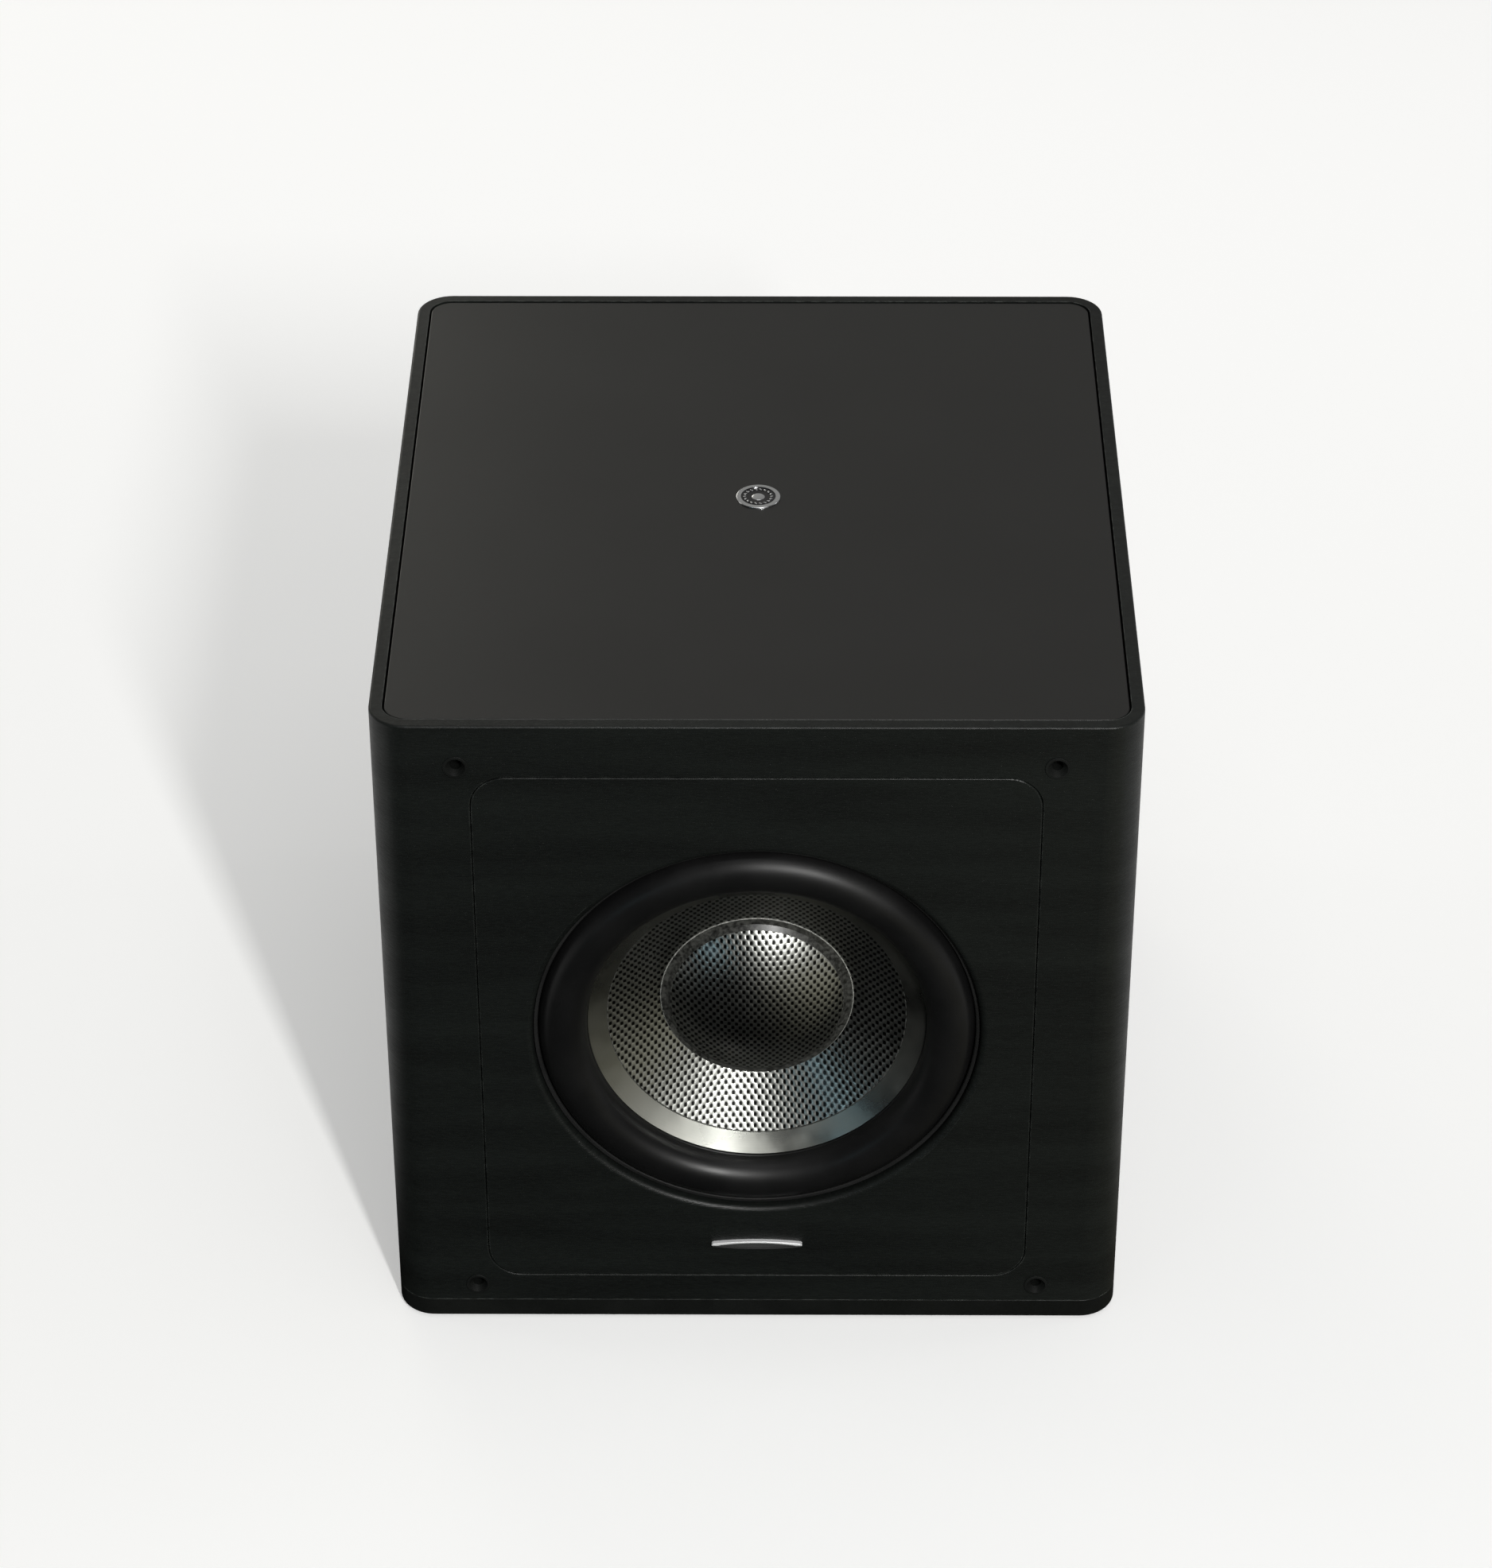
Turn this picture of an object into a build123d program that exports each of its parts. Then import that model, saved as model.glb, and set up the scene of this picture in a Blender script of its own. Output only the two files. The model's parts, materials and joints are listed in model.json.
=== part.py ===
"""Active subwoofer: a closed black box with a front-firing driver and a plate amplifier at the back.

The origin is the middle of the footprint on the floor, +Z is up and the driver faces -Y.
Depths are counted from the front face of the cabinet, towards the back. All sizes are in millimetres.
"""
import os
from math import asin, cos, radians, sin, sqrt

from build123d import *

os.makedirs("parts", exist_ok=True)

# ---- cabinet ----
cabinet_width = 400.0
cabinet_depth = 450.0
cabinet_height = 400.0
upright_radius = 20.0
board = 18.0
front_wall = 36.0
glue_gap = 0.1
top_edge_round = 1.2
foot_proud = 1.0
plinth_height = 12.5
plinth_bottom_round = 2.5
seam_round = 0.6

# ---- inset top ----
rim_width = 7.0
top_panel_gap = 1.0
top_panel_thickness = 8.0
top_panel_recess = 0.5

# ---- front baffle ----
baffle_side_margin = 52.0
baffle_end_margin = 32.0
baffle_radius = 18.0
baffle_thickness = 22.0
baffle_seam = 0.4
baffle_ledge = 14.0

# ---- driver, radii about its own axis ----
driver_height = 200.0
hole_radius = 120.0
hole_round = 3.5
baffle_web = 8.5
flange_width = 17.0
flange_fit = 0.5
flange_thickness = 5.0
gasket_thickness = 1.0
roll_radius = 13.0
roll_to_hole = 2.75
roll_depth = 10.0
roll_wall = 1.6
land_drop = 1.6
trim_depth = 5.0
trim_width = 1.95
ring_to_roll = 0.49
ring_depth = 11.57
ring_width = 10.03
ring_thickness = 0.5
cone_slope = 0.602
cone_wall = 1.4
cap_outer = 51.87
cap_edge = 46.64
cap_edge_stand = 6.53024
cap_rise = 14.0
cap_wall = 0.9
coil_radius = 26.0
former_wall = 0.4
winding_wall = 1.35
winding_length = 26.0
coil_gap = 0.8
spider_outer = 66.0
spider_wall = 0.8
spider_wave = 1.6
spider_folds = 5
landing_depth = 66.0
landing_outer = 76.0
seat_depth = 90.0
basket_wall = 4.0
basket_rim = 8.0
yoke_reach = 32.0
spokes = 6
spoke_width = 16.0
plate_thickness = 8.0
magnet_thickness = 16.0
magnet_radius = 70.0
magnet_bore = 40.0
pole_vent = 8.0
boot_wall = 2.5
driver_screws_count = 8
driver_screw_inset = 8.0

# ---- screws ----
screw_shank = 2.0
screw_head = 3.8
screw_head_height = 2.5
screw_length = 25.0
screw_clearance = 0.1
screw_recess = 0.4

# ---- badges and sockets ----
socket_margin = 45.0
socket_low = 24.8
socket_top_margin = 25.2
socket_flange = 6.65
socket_bore = 3.0
socket_body = 5.0
socket_depth = 12.0
socket_lip = 0.7
medallion_radius = 12.2
medallion_sink = 1.6
medallion_proud = 0.8
badge_width = 50.0
badge_height = 5.6
badge_middle = 55.0
badge_proud = 2.5
badge_end = 1.0
badge_end_height = 1.2
badge_face_margin = 3.2
badge_inset = 0.9
badge_peg = 1.0
badge_peg_length = 5.0

# ---- amplifier ----
amp_width = 240.0
amp_height = 300.0
amp_middle = 200.0
amp_plate_thickness = 3.0
amp_gasket_thickness = 1.0
amp_ledge = 14.0
amp_corner = 6.0
amp_cover_clearance = 4.0
amp_cover_wall = 1.5
amp_cover_depth = 72.0
amp_screw_length = 18.0
amp_screw_shank = 1.9
amp_screw_head = 3.6
amp_screw_head_height = 2.2
sink_width = 206.0
sink_height = 104.0
sink_middle = 184.0
sink_base = 4.0
fin_height = 12.0
fin_thickness = 2.0
fin_pitch = 10.0
fin_count = 19
circuit_thickness = 1.6
amp_board_setback = 30.0
control_board_setback = 12.0
knob_radius = 9.0
knob_length = 12.4
knob_row = 310.0
level_x = 60.0
lowpass_x = 0.0
phase_x = -60.0
shaft_radius = 3.0
shaft_clearance = 0.05
bushing_radius = 3.6
pot_radius = 8.5
lever_travel = 6.0
rca_row = 264.0
rca_pair_pitch = 22.0
rca_pair_middle = 34.0
rca_thread = 4.9
inlet_x = 60.0
inlet_z = 92.0
switch_x = 0.0
switch_z = 92.0
led_x = -92.0
led_z = 318.0
led_radius = 1.5
led_fit = 0.1

# ---- derived places ----
flange_radius = hole_radius + flange_width
driver_screw_circle = flange_radius - driver_screw_inset
roll_middle = hole_radius - roll_to_hole - roll_radius
ring_outer = roll_middle - roll_radius - ring_to_roll
socket_high = cabinet_height - socket_top_margin
front_y = -cabinet_depth / 2
back_y = cabinet_depth / 2
shell_bottom = foot_proud + plinth_height
panel_seat = cabinet_height - top_panel_recess - top_panel_thickness
inner_width = cabinet_width - 2 * board
inner_depth = cabinet_depth - front_wall - board
inner_y = (front_wall - board) / 2
bottom_top = shell_bottom + board
deck_bottom = panel_seat - board
baffle_width = cabinet_width - 2 * baffle_side_margin
baffle_height = cabinet_height - 2 * baffle_end_margin
baffle_z = cabinet_height / 2
plate_inner = back_y - amp_plate_thickness


def upright(y):
    """A plane across the cabinet: its x is the cabinet's x, its y is the height, and it faces the front."""
    return Plane(origin=(0, y, 0), x_dir=(1, 0, 0), z_dir=(0, -1, 0))


def at_depth(depth):
    """An upright plane that many millimetres behind the front face."""
    return upright(front_y + depth)


def driver_plane(depth):
    """An upright plane centred on the driver's axis."""
    return Plane(origin=(0, front_y + depth, driver_height), x_dir=(1, 0, 0), z_dir=(0, -1, 0))


def cone_front(radius):
    """Depth of the cone ring's front surface at a radius."""
    return ring_depth + cone_slope * (ring_outer - radius)


driver_section = Plane(origin=(0, front_y, driver_height), x_dir=(1, 0, 0), z_dir=(0, 0, 1))
driver_axis = Axis((0, front_y, driver_height), (0, 1, 0))

# ---- screw places ----
baffle_screw_side_z = 95.0
baffle_screw_end_x = 60.0
baffle_screw_x = (baffle_width - baffle_ledge) / 2
baffle_screw_z = (baffle_height - baffle_ledge) / 2
baffle_screw_places = [
    (side * x, baffle_z + end * z)
    for x, z in ((baffle_screw_x, baffle_screw_side_z), (baffle_screw_end_x, baffle_screw_z))
    for side in (-1, 1)
    for end in (-1, 1)
]
plinth_screw_y = cabinet_depth / 2 - 60.0
plinth_screw_places = [
    (side * cabinet_width / 4, row * plinth_screw_y) for side in (-1, 1) for row in (-1, 0, 1)
]
foot_x = cabinet_width / 2 - 45.0
foot_y = cabinet_depth / 2 - front_wall - 12.0
foot_radius = 18.0
foot_height = 6.0
foot_gap = 0.2
foot_round = 0.6
foot_places = [(side * foot_x, end * foot_y) for side in (-1, 1) for end in (-1, 1)]
socket_x = cabinet_width / 2 - socket_margin
socket_places = [(side * socket_x, height) for side in (-1, 1) for height in (socket_low, socket_high)]
amp_screw_places = [
    (side * (amp_width / 2 - amp_ledge / 2), amp_middle + row * (amp_height - amp_ledge) / 4)
    for side in (-1, 1)
    for row in (-2, -1, 0, 1, 2)
]
sink_screw_x = sink_width / 2 - 4.5
sink_screw_z = sink_height / 2 - 8.0
sink_screw_places = [
    (side * sink_screw_x, sink_middle + end * sink_screw_z) for side in (-1, 1) for end in (-1, 1)
]
pilot = screw_shank + screw_clearance
amp_pilot = amp_screw_shank + screw_clearance

# ==== cabinet ====
amp_recess = amp_plate_thickness + amp_gasket_thickness
amp_fit = 0.4
socket_hole = socket_body + screw_clearance

with BuildPart() as cabinet_shell:
    with BuildSketch(Plane.XY.offset(shell_bottom)):
        RectangleRounded(cabinet_width, cabinet_depth, upright_radius)
    extrude(amount=cabinet_height - shell_bottom)
    fillet(cabinet_shell.faces().sort_by(Axis.Z)[-1].edges(), top_edge_round)
    with BuildSketch(Plane.XY.offset(shell_bottom)):
        with Locations((0, inner_y)):
            Rectangle(inner_width, inner_depth)
    extrude(amount=cabinet_height - shell_bottom, mode=Mode.SUBTRACT)
    with BuildSketch(Plane.XY.offset(panel_seat)):
        RectangleRounded(
            cabinet_width - 2 * rim_width, cabinet_depth - 2 * rim_width, upright_radius - rim_width
        )
    extrude(amount=cabinet_height - panel_seat, mode=Mode.SUBTRACT)
    with BuildSketch(at_depth(0)):
        with Locations((0, baffle_z)):
            RectangleRounded(
                baffle_width + 2 * baffle_seam, baffle_height + 2 * baffle_seam, baffle_radius + baffle_seam
            )
    extrude(amount=-baffle_thickness, mode=Mode.SUBTRACT)
    fillet(cabinet_shell.faces().sort_by(Axis.Y)[0].inner_wires()[0].edges(), seam_round)
    with BuildSketch(at_depth(0)):
        with Locations((0, baffle_z)):
            Rectangle(baffle_width - 2 * baffle_ledge, baffle_height - 2 * baffle_ledge)
    extrude(amount=-front_wall, mode=Mode.SUBTRACT)
    with BuildSketch(upright(back_y)):
        with Locations((0, amp_middle)):
            RectangleRounded(amp_width + 2 * amp_fit, amp_height + 2 * amp_fit, amp_corner + amp_fit)
    extrude(amount=amp_recess, mode=Mode.SUBTRACT)
    with BuildSketch(upright(back_y)):
        with Locations((0, amp_middle)):
            Rectangle(amp_width - 2 * amp_ledge, amp_height - 2 * amp_ledge)
    extrude(amount=board, mode=Mode.SUBTRACT)
    with BuildSketch(at_depth(0)):
        with Locations(*socket_places):
            Circle(socket_hole)
    extrude(amount=-socket_depth - screw_recess, mode=Mode.SUBTRACT)
    with BuildSketch(at_depth(front_wall)):
        with Locations(*baffle_screw_places):
            Circle(pilot)
    extrude(amount=front_wall - baffle_thickness, mode=Mode.SUBTRACT)
    with BuildSketch(upright(back_y)):
        with Locations(*amp_screw_places):
            Circle(amp_pilot)
    extrude(amount=amp_screw_length + screw_recess, mode=Mode.SUBTRACT)
cabinet_shell.part.label = "cabinet_shell"
export_step(cabinet_shell.part, "parts/cabinet_shell.step")

badge_peg_places = [(side * badge_width / 4, badge_middle) for side in (-1, 1)]

with BuildPart() as front_baffle:
    with BuildSketch(at_depth(0)):
        with Locations((0, baffle_z)):
            RectangleRounded(baffle_width, baffle_height, baffle_radius)
    extrude(amount=-baffle_thickness)
    fillet(front_baffle.faces().sort_by(Axis.Y)[0].edges(), seam_round)
    with BuildSketch(driver_plane(0)):
        Circle(hole_radius)
    extrude(amount=-baffle_thickness, mode=Mode.SUBTRACT)
    fillet(front_baffle.faces().sort_by(Axis.Y)[0].inner_wires()[0].edges(), hole_round)
    with BuildSketch(driver_plane(baffle_web)):
        Circle(flange_radius + flange_fit)
    extrude(amount=baffle_web - baffle_thickness, mode=Mode.SUBTRACT)
    with BuildSketch(driver_plane(baffle_web)):
        with PolarLocations(driver_screw_circle, driver_screws_count, 22.5):
            Circle(pilot)
    extrude(amount=baffle_web - hole_round, mode=Mode.SUBTRACT)
    with BuildSketch(at_depth(baffle_thickness)):
        with Locations(*baffle_screw_places):
            Circle(pilot)
    extrude(amount=screw_length - (front_wall - baffle_thickness) + screw_recess, mode=Mode.SUBTRACT)
    with BuildSketch(at_depth(0)):
        with Locations(*badge_peg_places):
            Circle(badge_peg + screw_clearance)
    extrude(amount=-badge_peg_length - 1, mode=Mode.SUBTRACT)
front_baffle.part.label = "front_baffle"
export_step(front_baffle.part, "parts/front_baffle.step")

board_width = inner_width - 2 * glue_gap
board_depth = inner_depth - 2 * glue_gap

with BuildPart() as top_board:
    with BuildSketch(Plane.XY.offset(deck_bottom)):
        with Locations((0, inner_y)):
            Rectangle(board_width, board_depth)
    extrude(amount=board)
top_board.part.label = "top_board"
export_step(top_board.part, "parts/top_board.step")

with BuildPart() as bottom_board:
    with BuildSketch(Plane.XY.offset(shell_bottom)):
        with Locations((0, inner_y)):
            Rectangle(board_width, board_depth)
        with Locations(*plinth_screw_places, *foot_places):
            Circle(pilot, mode=Mode.SUBTRACT)
    extrude(amount=board)
bottom_board.part.label = "bottom_board"
export_step(bottom_board.part, "parts/bottom_board.step")

brace_depth = 205.0
brace_thickness = 15.0
brace_frame = 38.0
brace_corner = 20.0
brace_height = deck_bottom - bottom_top - 2 * glue_gap
window_height = (brace_height - 3 * brace_frame) / 2
window_offset = (window_height + brace_frame) / 2

with BuildPart() as window_brace:
    with BuildSketch(at_depth(brace_depth)):
        with Locations((0, (bottom_top + deck_bottom) / 2)):
            Rectangle(board_width, brace_height)
            with Locations((0, window_offset), (0, -window_offset)):
                RectangleRounded(
                    board_width - 2 * brace_frame, window_height, brace_corner, mode=Mode.SUBTRACT
                )
    extrude(amount=-brace_thickness)
window_brace.part.label = "window_brace"
export_step(window_brace.part, "parts/window_brace.step")

with BuildPart() as plinth:
    with BuildSketch(Plane.XY.offset(foot_proud)):
        RectangleRounded(cabinet_width, cabinet_depth, upright_radius)
    extrude(amount=plinth_height)
    fillet(plinth.faces().sort_by(Axis.Z)[0].edges(), plinth_bottom_round)
    fillet(plinth.faces().sort_by(Axis.Z)[-1].edges(), seam_round)
    with BuildSketch(Plane.XY.offset(foot_proud)):
        with Locations(*foot_places):
            Circle(foot_radius + foot_gap)
    extrude(amount=foot_height - foot_proud, mode=Mode.SUBTRACT)
    with BuildSketch(Plane.XY.offset(foot_proud)):
        with Locations(*plinth_screw_places):
            Circle(screw_head + screw_recess)
    extrude(amount=screw_head_height + screw_recess, mode=Mode.SUBTRACT)
    with BuildSketch(Plane.XY.offset(foot_proud)):
        with Locations(*plinth_screw_places, *foot_places):
            Circle(pilot)
    extrude(amount=plinth_height, mode=Mode.SUBTRACT)
plinth.part.label = "plinth"
export_step(plinth.part, "parts/plinth.step")

with BuildPart() as rubber_feet:
    with BuildSketch(Plane.XY):
        with Locations(*foot_places):
            Circle(foot_radius)
            Circle(pilot, mode=Mode.SUBTRACT)
    extrude(amount=foot_height)
    foot_rims = rubber_feet.faces().sort_by(Axis.Z)[0:4].edges().filter_by(lambda e: e.radius > screw_head)
    fillet(foot_rims, foot_round)
    with BuildSketch(Plane.XY):
        with Locations(*foot_places):
            Circle(screw_head + screw_recess)
    extrude(amount=screw_head_height + screw_recess, mode=Mode.SUBTRACT)
rubber_feet.part.label = "rubber_feet"
export_step(rubber_feet.part, "parts/rubber_feet.step")

foot_screw_seat = screw_head_height + screw_recess
plinth_screw_seat = foot_proud + screw_head_height + screw_recess

with BuildPart() as wood_screws:
    for places, seat in ((foot_places, foot_screw_seat), (plinth_screw_places, plinth_screw_seat)):
        with BuildSketch(Plane.XY.offset(seat - screw_head_height)):
            with Locations(*places):
                Circle(screw_head)
        extrude(amount=screw_head_height)
        with BuildSketch(Plane.XY.offset(seat)):
            with Locations(*places):
                Circle(screw_shank)
        extrude(amount=screw_length)
    with BuildSketch(at_depth(front_wall)):
        with Locations(*baffle_screw_places):
            Circle(screw_head)
    extrude(amount=-screw_head_height)
    with BuildSketch(at_depth(front_wall)):
        with Locations(*baffle_screw_places):
            Circle(screw_shank)
    extrude(amount=screw_length)
wood_screws.part.label = "wood_screws"
export_step(wood_screws.part, "parts/wood_screws.step")

with BuildPart() as top_panel:
    with BuildSketch(Plane.XY.offset(panel_seat)):
        RectangleRounded(
            cabinet_width - 2 * (rim_width + top_panel_gap),
            cabinet_depth - 2 * (rim_width + top_panel_gap),
            upright_radius - rim_width - top_panel_gap,
        )
    extrude(amount=top_panel_thickness)
    fillet(top_panel.faces().sort_by(Axis.Z)[-1].edges(), seam_round)
    with BuildSketch(Plane.XY.offset(panel_seat + top_panel_thickness)):
        Circle(medallion_radius + screw_clearance)
    extrude(amount=-medallion_sink, mode=Mode.SUBTRACT)
top_panel.part.label = "top_panel"
export_step(top_panel.part, "parts/top_panel.step")

medallion_floor = panel_seat + top_panel_thickness - medallion_sink
medallion_top = panel_seat + top_panel_thickness + medallion_proud
medallion_well = 9.6
medallion_well_depth = 1.4
medallion_round = 0.5
disc_gap = 0.1
disc_thickness = 0.9
disc_ring_outer = medallion_well - 1.6
disc_ring_inner = medallion_well - 2.8
disc_ring_rise = 0.3

with BuildPart() as medallion_ring:
    with BuildSketch(Plane.XY.offset(medallion_floor)):
        Circle(medallion_radius)
    extrude(amount=medallion_top - medallion_floor)
    fillet(medallion_ring.faces().sort_by(Axis.Z)[-1].edges(), medallion_round)
    with BuildSketch(Plane.XY.offset(medallion_top)):
        Circle(medallion_well)
    extrude(amount=-medallion_well_depth, mode=Mode.SUBTRACT)
medallion_ring.part.label = "medallion_ring"
export_step(medallion_ring.part, "parts/medallion_ring.step")

with BuildPart() as medallion_disc:
    with BuildSketch(Plane.XY.offset(medallion_top - medallion_well_depth)):
        Circle(medallion_well - disc_gap)
    extrude(amount=disc_thickness)
    with BuildSketch(Plane.XY.offset(medallion_top - medallion_well_depth + disc_thickness)):
        Circle(disc_ring_outer)
        Circle(disc_ring_inner, mode=Mode.SUBTRACT)
    extrude(amount=disc_ring_rise)
    fillet(medallion_disc.faces().sort_by(Axis.Z)[-1].edges(), disc_ring_rise * 0.4)
medallion_disc.part.label = "medallion_disc"
export_step(medallion_disc.part, "parts/medallion_disc.step")

badge_end_x = badge_width / 2 - badge_end
badge_well_x = badge_width / 2 - badge_face_margin
badge_well_height = badge_height / 2 - badge_inset
badge_face_x = badge_well_x - 0.8
badge_face_height = badge_well_height - glue_gap
badge_face_thickness = 0.5
badge_round = 0.5


def badge_plane(proud):
    """An upright plane centred on the badge bar, proud of the front face."""
    return Plane(origin=(0, front_y - proud, badge_middle), x_dir=(1, 0, 0), z_dir=(0, -1, 0))


with BuildPart() as badge_bar:
    with BuildSketch(badge_plane(0)):
        with BuildLine():
            ThreePointArc(
                (-badge_end_x, badge_end_height), (0, badge_height / 2), (badge_end_x, badge_end_height)
            )
            ThreePointArc(
                (badge_end_x, badge_end_height), (badge_width / 2, 0), (badge_end_x, -badge_end_height)
            )
            ThreePointArc(
                (badge_end_x, -badge_end_height), (0, -badge_height / 2), (-badge_end_x, -badge_end_height)
            )
            ThreePointArc(
                (-badge_end_x, -badge_end_height), (-badge_width / 2, 0), (-badge_end_x, badge_end_height)
            )
        make_face()
    extrude(amount=badge_proud)
    fillet(badge_bar.faces().sort_by(Axis.Y)[0].edges(), badge_round)
    with BuildSketch(badge_plane(badge_proud)):
        with BuildLine():
            ThreePointArc((-badge_well_x, 0), (0, badge_well_height), (badge_well_x, 0))
            ThreePointArc((badge_well_x, 0), (0, -badge_well_height), (-badge_well_x, 0))
        make_face()
    extrude(amount=-badge_inset, mode=Mode.SUBTRACT)
    with BuildSketch(at_depth(0)):
        with Locations(*badge_peg_places):
            Circle(badge_peg)
    extrude(amount=-badge_peg_length)
badge_bar.part.label = "badge_bar"
export_step(badge_bar.part, "parts/badge_bar.step")

with BuildPart() as badge_face:
    with BuildSketch(badge_plane(badge_proud - badge_inset)):
        with BuildLine():
            ThreePointArc((-badge_face_x, 0), (0, badge_face_height), (badge_face_x, 0))
            ThreePointArc((badge_face_x, 0), (0, -badge_face_height), (-badge_face_x, 0))
        make_face()
    extrude(amount=badge_face_thickness)
badge_face.part.label = "badge_face"
export_step(badge_face.part, "parts/badge_face.step")

socket_mouth = 5.2
socket_bottom = socket_depth - 1.5
socket_countersink = 2.6

with BuildPart() as grille_sockets:
    with BuildSketch(at_depth(0)):
        with Locations(*socket_places):
            Circle(socket_body)
    extrude(amount=-socket_depth)
    with BuildSketch(at_depth(0)):
        with Locations(*socket_places):
            Circle(socket_flange)
    extrude(amount=socket_lip)
    fillet(grille_sockets.faces().sort_by(Axis.Y)[0:4].edges(), 0.4)
    for x, z in socket_places:
        with BuildSketch(Plane(origin=(x, front_y, z), x_dir=(1, 0, 0), z_dir=(0, 0, 1))):
            with BuildLine():
                Polyline(
                    (0, -socket_lip - 1),
                    (socket_mouth, -socket_lip - 1),
                    (socket_mouth, -socket_lip),
                    (socket_bore, socket_countersink),
                    (socket_bore, socket_bottom),
                    (0, socket_bottom),
                    close=True,
                )
            make_face()
        revolve(axis=Axis((x, front_y, z), (0, 1, 0)), mode=Mode.SUBTRACT)
grille_sockets.part.label = "grille_sockets"
export_step(grille_sockets.part, "parts/grille_sockets.step")

lining_thickness = 10.0
lining_margin = 10.0
lining_depth = brace_depth - front_wall - 2 * lining_margin
lining_short = 60.0
lining_x = (inner_width - lining_thickness) / 2

with BuildPart() as lining_pads:
    with BuildSketch(at_depth(front_wall + lining_margin)):
        with Locations(*[(side * lining_x, (bottom_top + deck_bottom) / 2) for side in (-1, 1)]):
            Rectangle(lining_thickness, brace_height - lining_short)
        with Locations((0, deck_bottom - lining_thickness / 2)):
            Rectangle(inner_width - lining_short, lining_thickness)
    extrude(amount=-lining_depth)
lining_pads.part.label = "lining_pads"
export_step(lining_pads.part, "parts/lining_pads.step")

# ==== driver ====
flange_front = baffle_web + gasket_thickness
flange_back = flange_front + flange_thickness
gasket_fit = 0.4
step_radius = hole_radius - 0.2
land_radius = step_radius - 0.3
land_back = roll_depth + land_drop
roll_outer = roll_middle + roll_radius
roll_inner = roll_middle - roll_radius
rim_inner = hole_radius - basket_rim
rim_thickness = 3.0

landing_inner = spider_outer - 8.0
yoke_outer = spider_outer
window_front = flange_back + basket_wall
window_back = landing_depth - 2.0

with BuildPart() as driver_gasket:
    with BuildSketch(driver_plane(baffle_web)):
        Circle(flange_radius)
        Circle(hole_radius + gasket_fit, mode=Mode.SUBTRACT)
        with PolarLocations(driver_screw_circle, driver_screws_count, 22.5):
            Circle(pilot, mode=Mode.SUBTRACT)
    extrude(amount=-gasket_thickness)
driver_gasket.part.label = "driver_gasket"
export_step(driver_gasket.part, "parts/driver_gasket.step")

with BuildPart() as driver_basket:
    with BuildSketch(driver_section):
        with BuildLine():
            Polyline(
                (flange_radius, flange_front),
                (step_radius, flange_front),
                (step_radius, land_back),
                (rim_inner, land_back),
                (rim_inner, land_back + rim_thickness),
                (landing_outer - 3, landing_depth),
                (landing_inner, landing_depth),
                (landing_inner, landing_depth + basket_wall),
                (yoke_outer - basket_wall, landing_depth + basket_wall),
                (yoke_outer - basket_wall, seat_depth),
                (yoke_outer - yoke_reach, seat_depth),
                (yoke_outer - yoke_reach, seat_depth + basket_wall),
                (yoke_outer, seat_depth + basket_wall),
                (yoke_outer, landing_depth + basket_wall),
                (landing_outer, landing_depth + basket_wall),
                (landing_outer + 2, landing_depth - 1),
                (rim_inner + 7, flange_back),
                (flange_radius, flange_back),
                close=True,
            )
        make_face()
    revolve(axis=driver_axis)
    with BuildSketch(driver_plane(window_front)):
        Circle(rim_inner - rim_thickness)
        Circle(landing_outer + 0.5, mode=Mode.SUBTRACT)
        with PolarLocations((rim_inner + landing_outer) / 2, spokes):
            Rectangle(rim_inner, spoke_width, mode=Mode.SUBTRACT)
    extrude(amount=window_front - window_back, mode=Mode.SUBTRACT)
    with BuildSketch(driver_plane(flange_front)):
        with PolarLocations(driver_screw_circle, driver_screws_count, 22.5):
            Circle(screw_shank + 0.3)
    extrude(amount=-flange_thickness, mode=Mode.SUBTRACT)
driver_basket.part.label = "driver_basket"
export_step(driver_basket.part, "parts/driver_basket.step")

with BuildPart() as driver_screws:
    with BuildSketch(driver_plane(flange_back)):
        with PolarLocations(driver_screw_circle, driver_screws_count, 22.5):
            Circle(screw_head)
    extrude(amount=-screw_head_height)
    with BuildSketch(driver_plane(flange_back)):
        with PolarLocations(driver_screw_circle, driver_screws_count, 22.5):
            Circle(screw_shank)
    extrude(amount=flange_back - hole_round - screw_recess)
driver_screws.part.label = "driver_screws"
export_step(driver_screws.part, "parts/driver_screws.step")

cone_layer = ring_thickness + cone_wall
inner_land_reach = 7.0
land_edge = roll_inner - inner_land_reach

with BuildPart() as surround:
    with BuildSketch(driver_section):
        with BuildLine():
            Polyline(
                (roll_outer, roll_depth),
                (land_radius, roll_depth),
                (land_radius, land_back),
                (roll_outer - roll_wall, land_back),
                (roll_outer - roll_wall, roll_depth),
            )
            ThreePointArc(
                (roll_outer - roll_wall, roll_depth),
                (roll_middle, roll_depth - roll_radius + roll_wall),
                (roll_inner + roll_wall, roll_depth),
            )
            Polyline(
                (roll_inner + roll_wall, roll_depth),
                (roll_inner + roll_wall, cone_front(roll_inner) + cone_layer + roll_wall),
                (land_edge, cone_front(land_edge) + cone_layer + glue_gap + roll_wall),
                (land_edge, cone_front(land_edge) + cone_layer + glue_gap),
                (roll_inner, cone_front(roll_inner) + cone_layer + glue_gap),
                (roll_inner, roll_depth),
            )
            ThreePointArc(
                (roll_inner, roll_depth), (roll_middle, roll_depth - roll_radius), (roll_outer, roll_depth)
            )
        make_face()
    revolve(axis=driver_axis)
surround.part.label = "surround"
export_step(surround.part, "parts/surround.step")

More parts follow.
